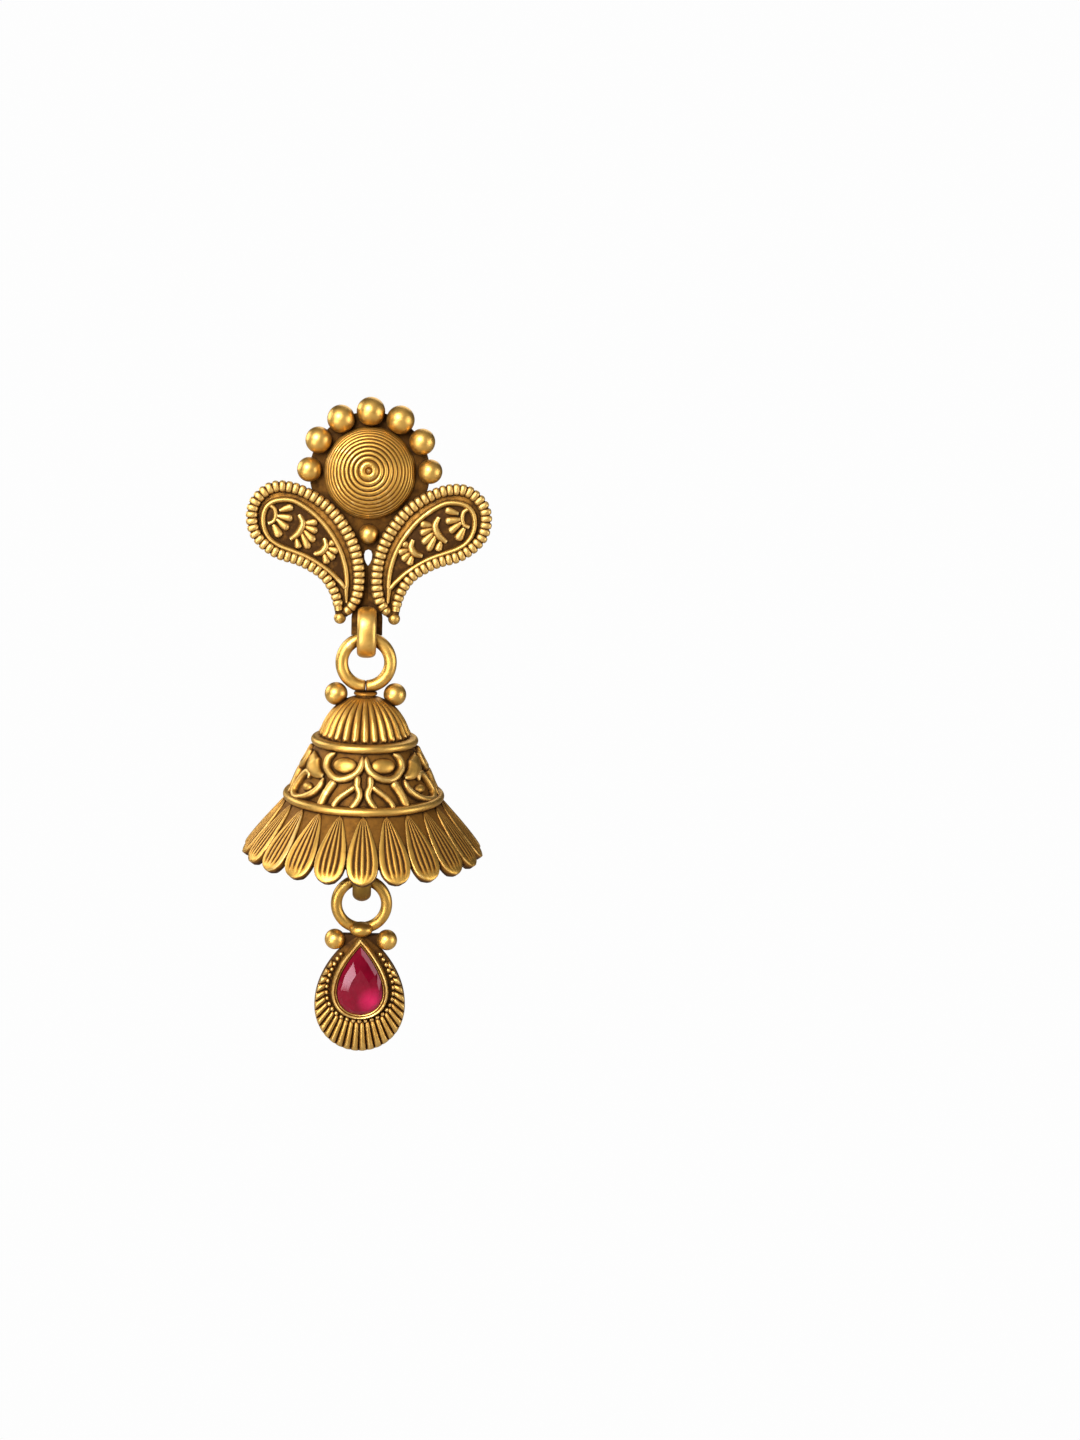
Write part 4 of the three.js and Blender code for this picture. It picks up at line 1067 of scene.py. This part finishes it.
class EARRING_OT_setting(bpy.types.Operator):
    """Make the drop's ring, collar, bezel, milgrain and fan of ribs"""

    bl_idname = "earring.setting"
    bl_label = "Drop setting"

    def execute(self, context):
        s = sizes()
        finish = gold("setting gold")
        ring = Metal()
        open_ring(ring, 6.3, LOWER_WIRE, LOWER_PIVOT_Z)
        ring.ball((0, HANG_Y - 0.45, LOWER_PIVOT_Z - 5.15), (2.45, 2.1, 1.5))
        show(ring.mesh("lower_ring", 50), "drop", "gold", gold("ring gold"), "drop_setting")
        metal = Metal()
        steps = np.arange(144) / 144
        # The fan's back plate and the shoulder plate carry patina and painted shade
        metal.slab(fan_edge(steps), DROP_BACK, DROP_BACK - DROP_FACE, 0.1, dark=0.8)
        x, top, foot = SHOULDER_X, DROP_TOP_Z, DROP_TOP_Z - 1.4
        shoulder = [(-x, top), (x, top), (x, foot), (-x, foot)]
        metal.slab(shoulder, DROP_BACK - 0.03, DROP_BACK - DROP_FACE - 0.06, 0.1, dark=0.95)
        section = [
            (0, -0.3), (0, 0.95), (0.03, 1.2), (0.1, 1.36), (0.2, 1.42), (0.29, 1.37), (0.34, 1.26),
            (0.37, 1.18), (0.4, 1.28), (0.46, 1.35), (0.53, 1.31), (0.58, 1.18), (BEZEL_WALL, 0.9),
            (BEZEL_WALL, -0.3),
        ]
        # The bezel's foot and the groove in its top carry patina and painted shade
        low = [0.7, 0.1, 0, 0, 0, 0, 0.15, 0.8, 0.1, 0, 0, 0.2, 0.7, 1]
        fine = np.arange(160) / 160
        rows = [facing_front(around_bezel(fine, -inset), DROP_FACE - high) for inset, high in section]
        metal.skin(np.stack(rows, axis=1), closed=True, dark=low)
        show(metal.mesh("bezel_and_base", 50), "drop", "gold", gold("bezel gold"), "drop_setting")
        self.milgrain(mm(s.milgrain))
        self.ribs(s.ribs, finish)
        places = [((side * SHOULDER_X, DROP_FACE, DROP_TOP_Z - 0.46), 2.1) for side in (-1, 1)]
        grains("drop_granules", places, "drop", "gold", "drop_setting", seed=5)
        return {"FINISHED"}

    def milgrain(self, size):
        """Grains round the bezel's foot, from a little below its point."""
        dense = facing_front(around_bezel(np.linspace(0.1, 0.9, 900), 0.5), DROP_FACE - 0.34)
        dense = dense[dense[:, 2] < DROP_TOP_Z - 1.9]
        along = travelled(dense)
        spots = at_distance(np.linspace(0, along[-1], round(along[-1] / (size * 1.28))), along, dense)
        places = [(spot, size) for spot in spots]
        grains("milgrain", places, "drop", "gold", "drop_setting", 0.05, 9, "setting gold", (14, 9))

    def ribs(self, count, finish):
        """Ribs that fan out from a focus behind the stone and end flush with the fan's outline."""

        def bearing(spots):
            return np.arctan2(spots[:, 0], FAN_FOCUS_Z - spots[:, 1])

        around = around_bezel(np.linspace(0.1, 0.9, 500), 0.62)
        order = np.argsort(bearing(around))
        seen, around = bearing(around)[order], around[order]
        u = np.linspace(-1, 1, 15)
        rounded = np.sqrt(np.maximum(0, 1 - u**2)) ** 0.75
        step = 0.62 / (count - 1)
        shares = (0, 0.05, 0.2, 0.5, 0.8, 0.92, 0.97, 1.0)
        heights = (0.3, 0.42, 0.5, 0.56, 0.6, 0.54, 0.4, 0.15)
        metal = Metal()
        for middle in 0.19 + step * np.arange(count):
            ends = fan_edge(middle + u * step * 0.485, -0.03)
            roots = at_distance(bearing(ends), seen, around)
            rings = []
            for share_out, high in zip(shares, heights):
                flat = roots + (ends - roots) * share_out
                top = facing_front(flat, DROP_FACE)
                top[:, 1] -= high * rounded
                foot = facing_front(flat[[-1, 0]], DROP_FACE + 0.25)
                rings.append(np.vstack([top, foot]))
            # The gaps between ribs carry patina and painted shade
            low = [*np.clip(1.25 - 2.1 * rounded, 0, 1), 1, 1]
            metal.skin(rings, dark=np.maximum(low, np.asarray([0.8, 0.3, 0, 0, 0, 0, 0, 0.2])[:, None]))
        show(metal.mesh("fan_ribs", 50), "drop", "gold", finish, "drop_setting")


class EARRING_OT_stone(bpy.types.Operator):
    """Cut the pear-shaped stone"""

    bl_idname = "earring.stone"
    bl_label = "Stone"

    def execute(self, context):
        girdle_y = DROP_FACE - 1.5 + 0.25
        width, height = BEZEL_WIDTH - 2 * BEZEL_WALL, BEZEL_HEIGHT - 2 * BEZEL_WALL * 1.15
        top = DROP_TOP_Z - BEZEL_WALL * 1.3
        middle = (0, top - height * 0.62)

        def level(scale, y, sides=24):
            """One row of 24 places, on the outline itself or on the straight sides between fewer corners."""
            corners = pear(np.arange(sides) / sides + (0.5 / sides if sides < 24 else 0), width, height, top)
            corners = (corners - middle) * scale + middle
            if sides < 24:
                middles = (corners + np.roll(corners, 1, axis=0)) / 2
                corners = np.stack([middles, corners], axis=1).reshape(-1, 2)
            return facing_front(corners, y)

        stone = Metal()
        back = [level(0.3, DROP_FACE + 0.5), level(0.7, DROP_FACE - 0.4)]
        girdle = [level(1.0, girdle_y), level(1.0, girdle_y - 0.12)]
        crown = [level(scale, girdle_y - high, 12) for scale, high in ((0.86, 0.42), (0.5, 0.72), (0.26, 0.78))]
        stone.skin([*back, *girdle, *crown])
        made = stone.mesh("cut_stone", 1)
        made.polygons.foreach_set("use_smooth", [False] * len(made.polygons))
        show(made, "drop", "red_stone", ruby_glass(), "pear_stone")
        return {"FINISHED"}


# Stage


def camera_sees(tree, amount, usual, seen, output):
    """Shows one shader to the camera and another to all else."""
    mix = node(tree, "ShaderNodeMixShader", _0=amount, _1=usual.outputs[0], _2=seen.outputs[0])
    feed(tree, tree.nodes[output], Surface=mix.outputs[0])


class EARRING_OT_stage(bpy.types.Operator):
    """Set the floor, the soft lights, the sky and the camera"""

    bl_idname = "earring.stage"
    bl_label = "Stage"

    def execute(self, context):
        scene = context.scene
        scene.view_settings.view_transform = "Standard"
        self.camera(scene)
        self.floor()
        self.sky(scene)
        for name, spot, reach, power in (
            ("key", (-120, -265, 125), 190, 2.0),
            ("fill", (260, -110, -10), 180, 0.4),
            ("low", (-165, -190, -92), 110, 0.45),
            ("wing", (-200, 90, 60), 170, 0.32),
            ("back", (60, 200, 160), 200, 0.2),
        ):
            self.light(name, spot, reach, power)
        return {"FINISHED"}

    def camera(self, scene):
        data = bpy.data.cameras.new("camera")
        data.lens = 37.5
        data.sensor_width = 36
        data.shift_x = 0.1215
        data.clip_start = 0.005
        data.clip_end = 10
        camera = stand("camera", data)
        lean = math.radians(11)
        back = Vector((0, -math.cos(lean), math.sin(lean)))
        camera.location = (Vector((0, -2.1, -24.34)) + back * 150) * MM
        roll = Quaternion((0, 0, 1), math.radians(1.1))
        camera.rotation_mode = "QUATERNION"
        camera.rotation_quaternion = (-back).to_track_quat("-Z", "Y") @ roll
        scene.camera = camera

    def floor(self):
        half, level = 3.0, -0.098
        corners = [(-half, -half, level), (half, -half, level), (half, half, level), (-half, half, level)]
        mesh = bpy.data.meshes.new("floor")
        mesh.from_pydata(corners, [], [(0, 1, 2, 3)])
        floor = stand("floor", mesh)
        material, tree, paper = new_finish("white floor")
        feed(tree, paper, Base_Color=(0.4, 0.38, 0.36), Roughness=0.9, Specular_IOR_Level=0.1)
        seen = node(tree, "ShaderNodeLightPath").outputs["Is Camera Ray"]
        glow = node(tree, "ShaderNodeEmission", Color=WHITE)
        camera_sees(tree, spread(tree, seen, 0, 1, 0.04, 1.0), paper, glow, "Material Output")
        mesh.materials.append(material)

    def sky(self, scene):
        world = bpy.data.worlds.new("studio")
        world.use_nodes = True
        tree = world.node_tree
        way = node(tree, "ShaderNodeTexCoord").outputs["Generated"]
        parts = node(tree, "ShaderNodeSeparateXYZ", Vector=way)
        high = spread(tree, parts.outputs["Z"], -0.6, 0.9, 0.03, 0.6)
        front = spread(tree, parts.outputs["Y"], 0.35, -0.6, 0.16, 1.15)
        power = arithmetic(tree, "MULTIPLY", high, front)
        studio = node(tree, "ShaderNodeBackground", Color=(1.0, 0.95, 0.88), Strength=power)
        white = node(tree, "ShaderNodeBackground", Color=WHITE)
        seen = node(tree, "ShaderNodeLightPath").outputs["Is Camera Ray"]
        camera_sees(tree, seen, studio, white, "World Output")
        scene.world = world

    def light(self, name, spot, reach, power):
        data = bpy.data.lights.new(name, "AREA")
        data.shape = "DISK"
        data.size = reach * MM
        data.energy = power
        lamp = stand(name, data)
        lamp.location = Vector(spot) * MM
        towards = Vector((0, 0, -26)) * MM - lamp.location
        lamp.rotation_mode = "QUATERNION"
        lamp.rotation_quaternion = towards.to_track_quat("-Z", "Y")


PIECES = (
    EARRING_OT_backing, EARRING_OT_granules, EARRING_OT_dome, EARRING_OT_paisleys, EARRING_OT_post,
    EARRING_OT_cap, EARRING_OT_frieze, EARRING_OT_skirt, EARRING_OT_hook,
    EARRING_OT_setting, EARRING_OT_stone, EARRING_OT_stage,
)


class EARRING_PT_workshop(bpy.types.Panel):
    """Lists the earring's sizes, finishes and pieces"""

    bl_idname = "EARRING_PT_workshop"
    bl_label = "Earring"
    bl_space_type = "VIEW_3D"
    bl_region_type = "UI"
    bl_category = "Earring"

    def draw(self, context):
        column = self.layout.column()
        for group in (context.scene.earring_finish, context.scene.earring_sizes):
            for label in group.__annotations__:
                column.prop(group, label)
        for piece in PIECES:
            column.operator(piece.bl_idname)


CLASSES = (EarringFinish, EarringSizes, *PIECES, EARRING_PT_workshop)


def register():
    for made in CLASSES:
        bpy.utils.register_class(made)
    bpy.types.Scene.earring_finish = PointerProperty(type=EarringFinish)
    bpy.types.Scene.earring_sizes = PointerProperty(type=EarringSizes)


def unregister():
    del bpy.types.Scene.earring_sizes
    del bpy.types.Scene.earring_finish
    for made in reversed(CLASSES):
        bpy.utils.unregister_class(made)


def main():
    register()
    for piece in PIECES:
        group, name = piece.bl_idname.split(".")
        getattr(getattr(bpy.ops, group), name)()


if __name__ == "__main__":
    main()
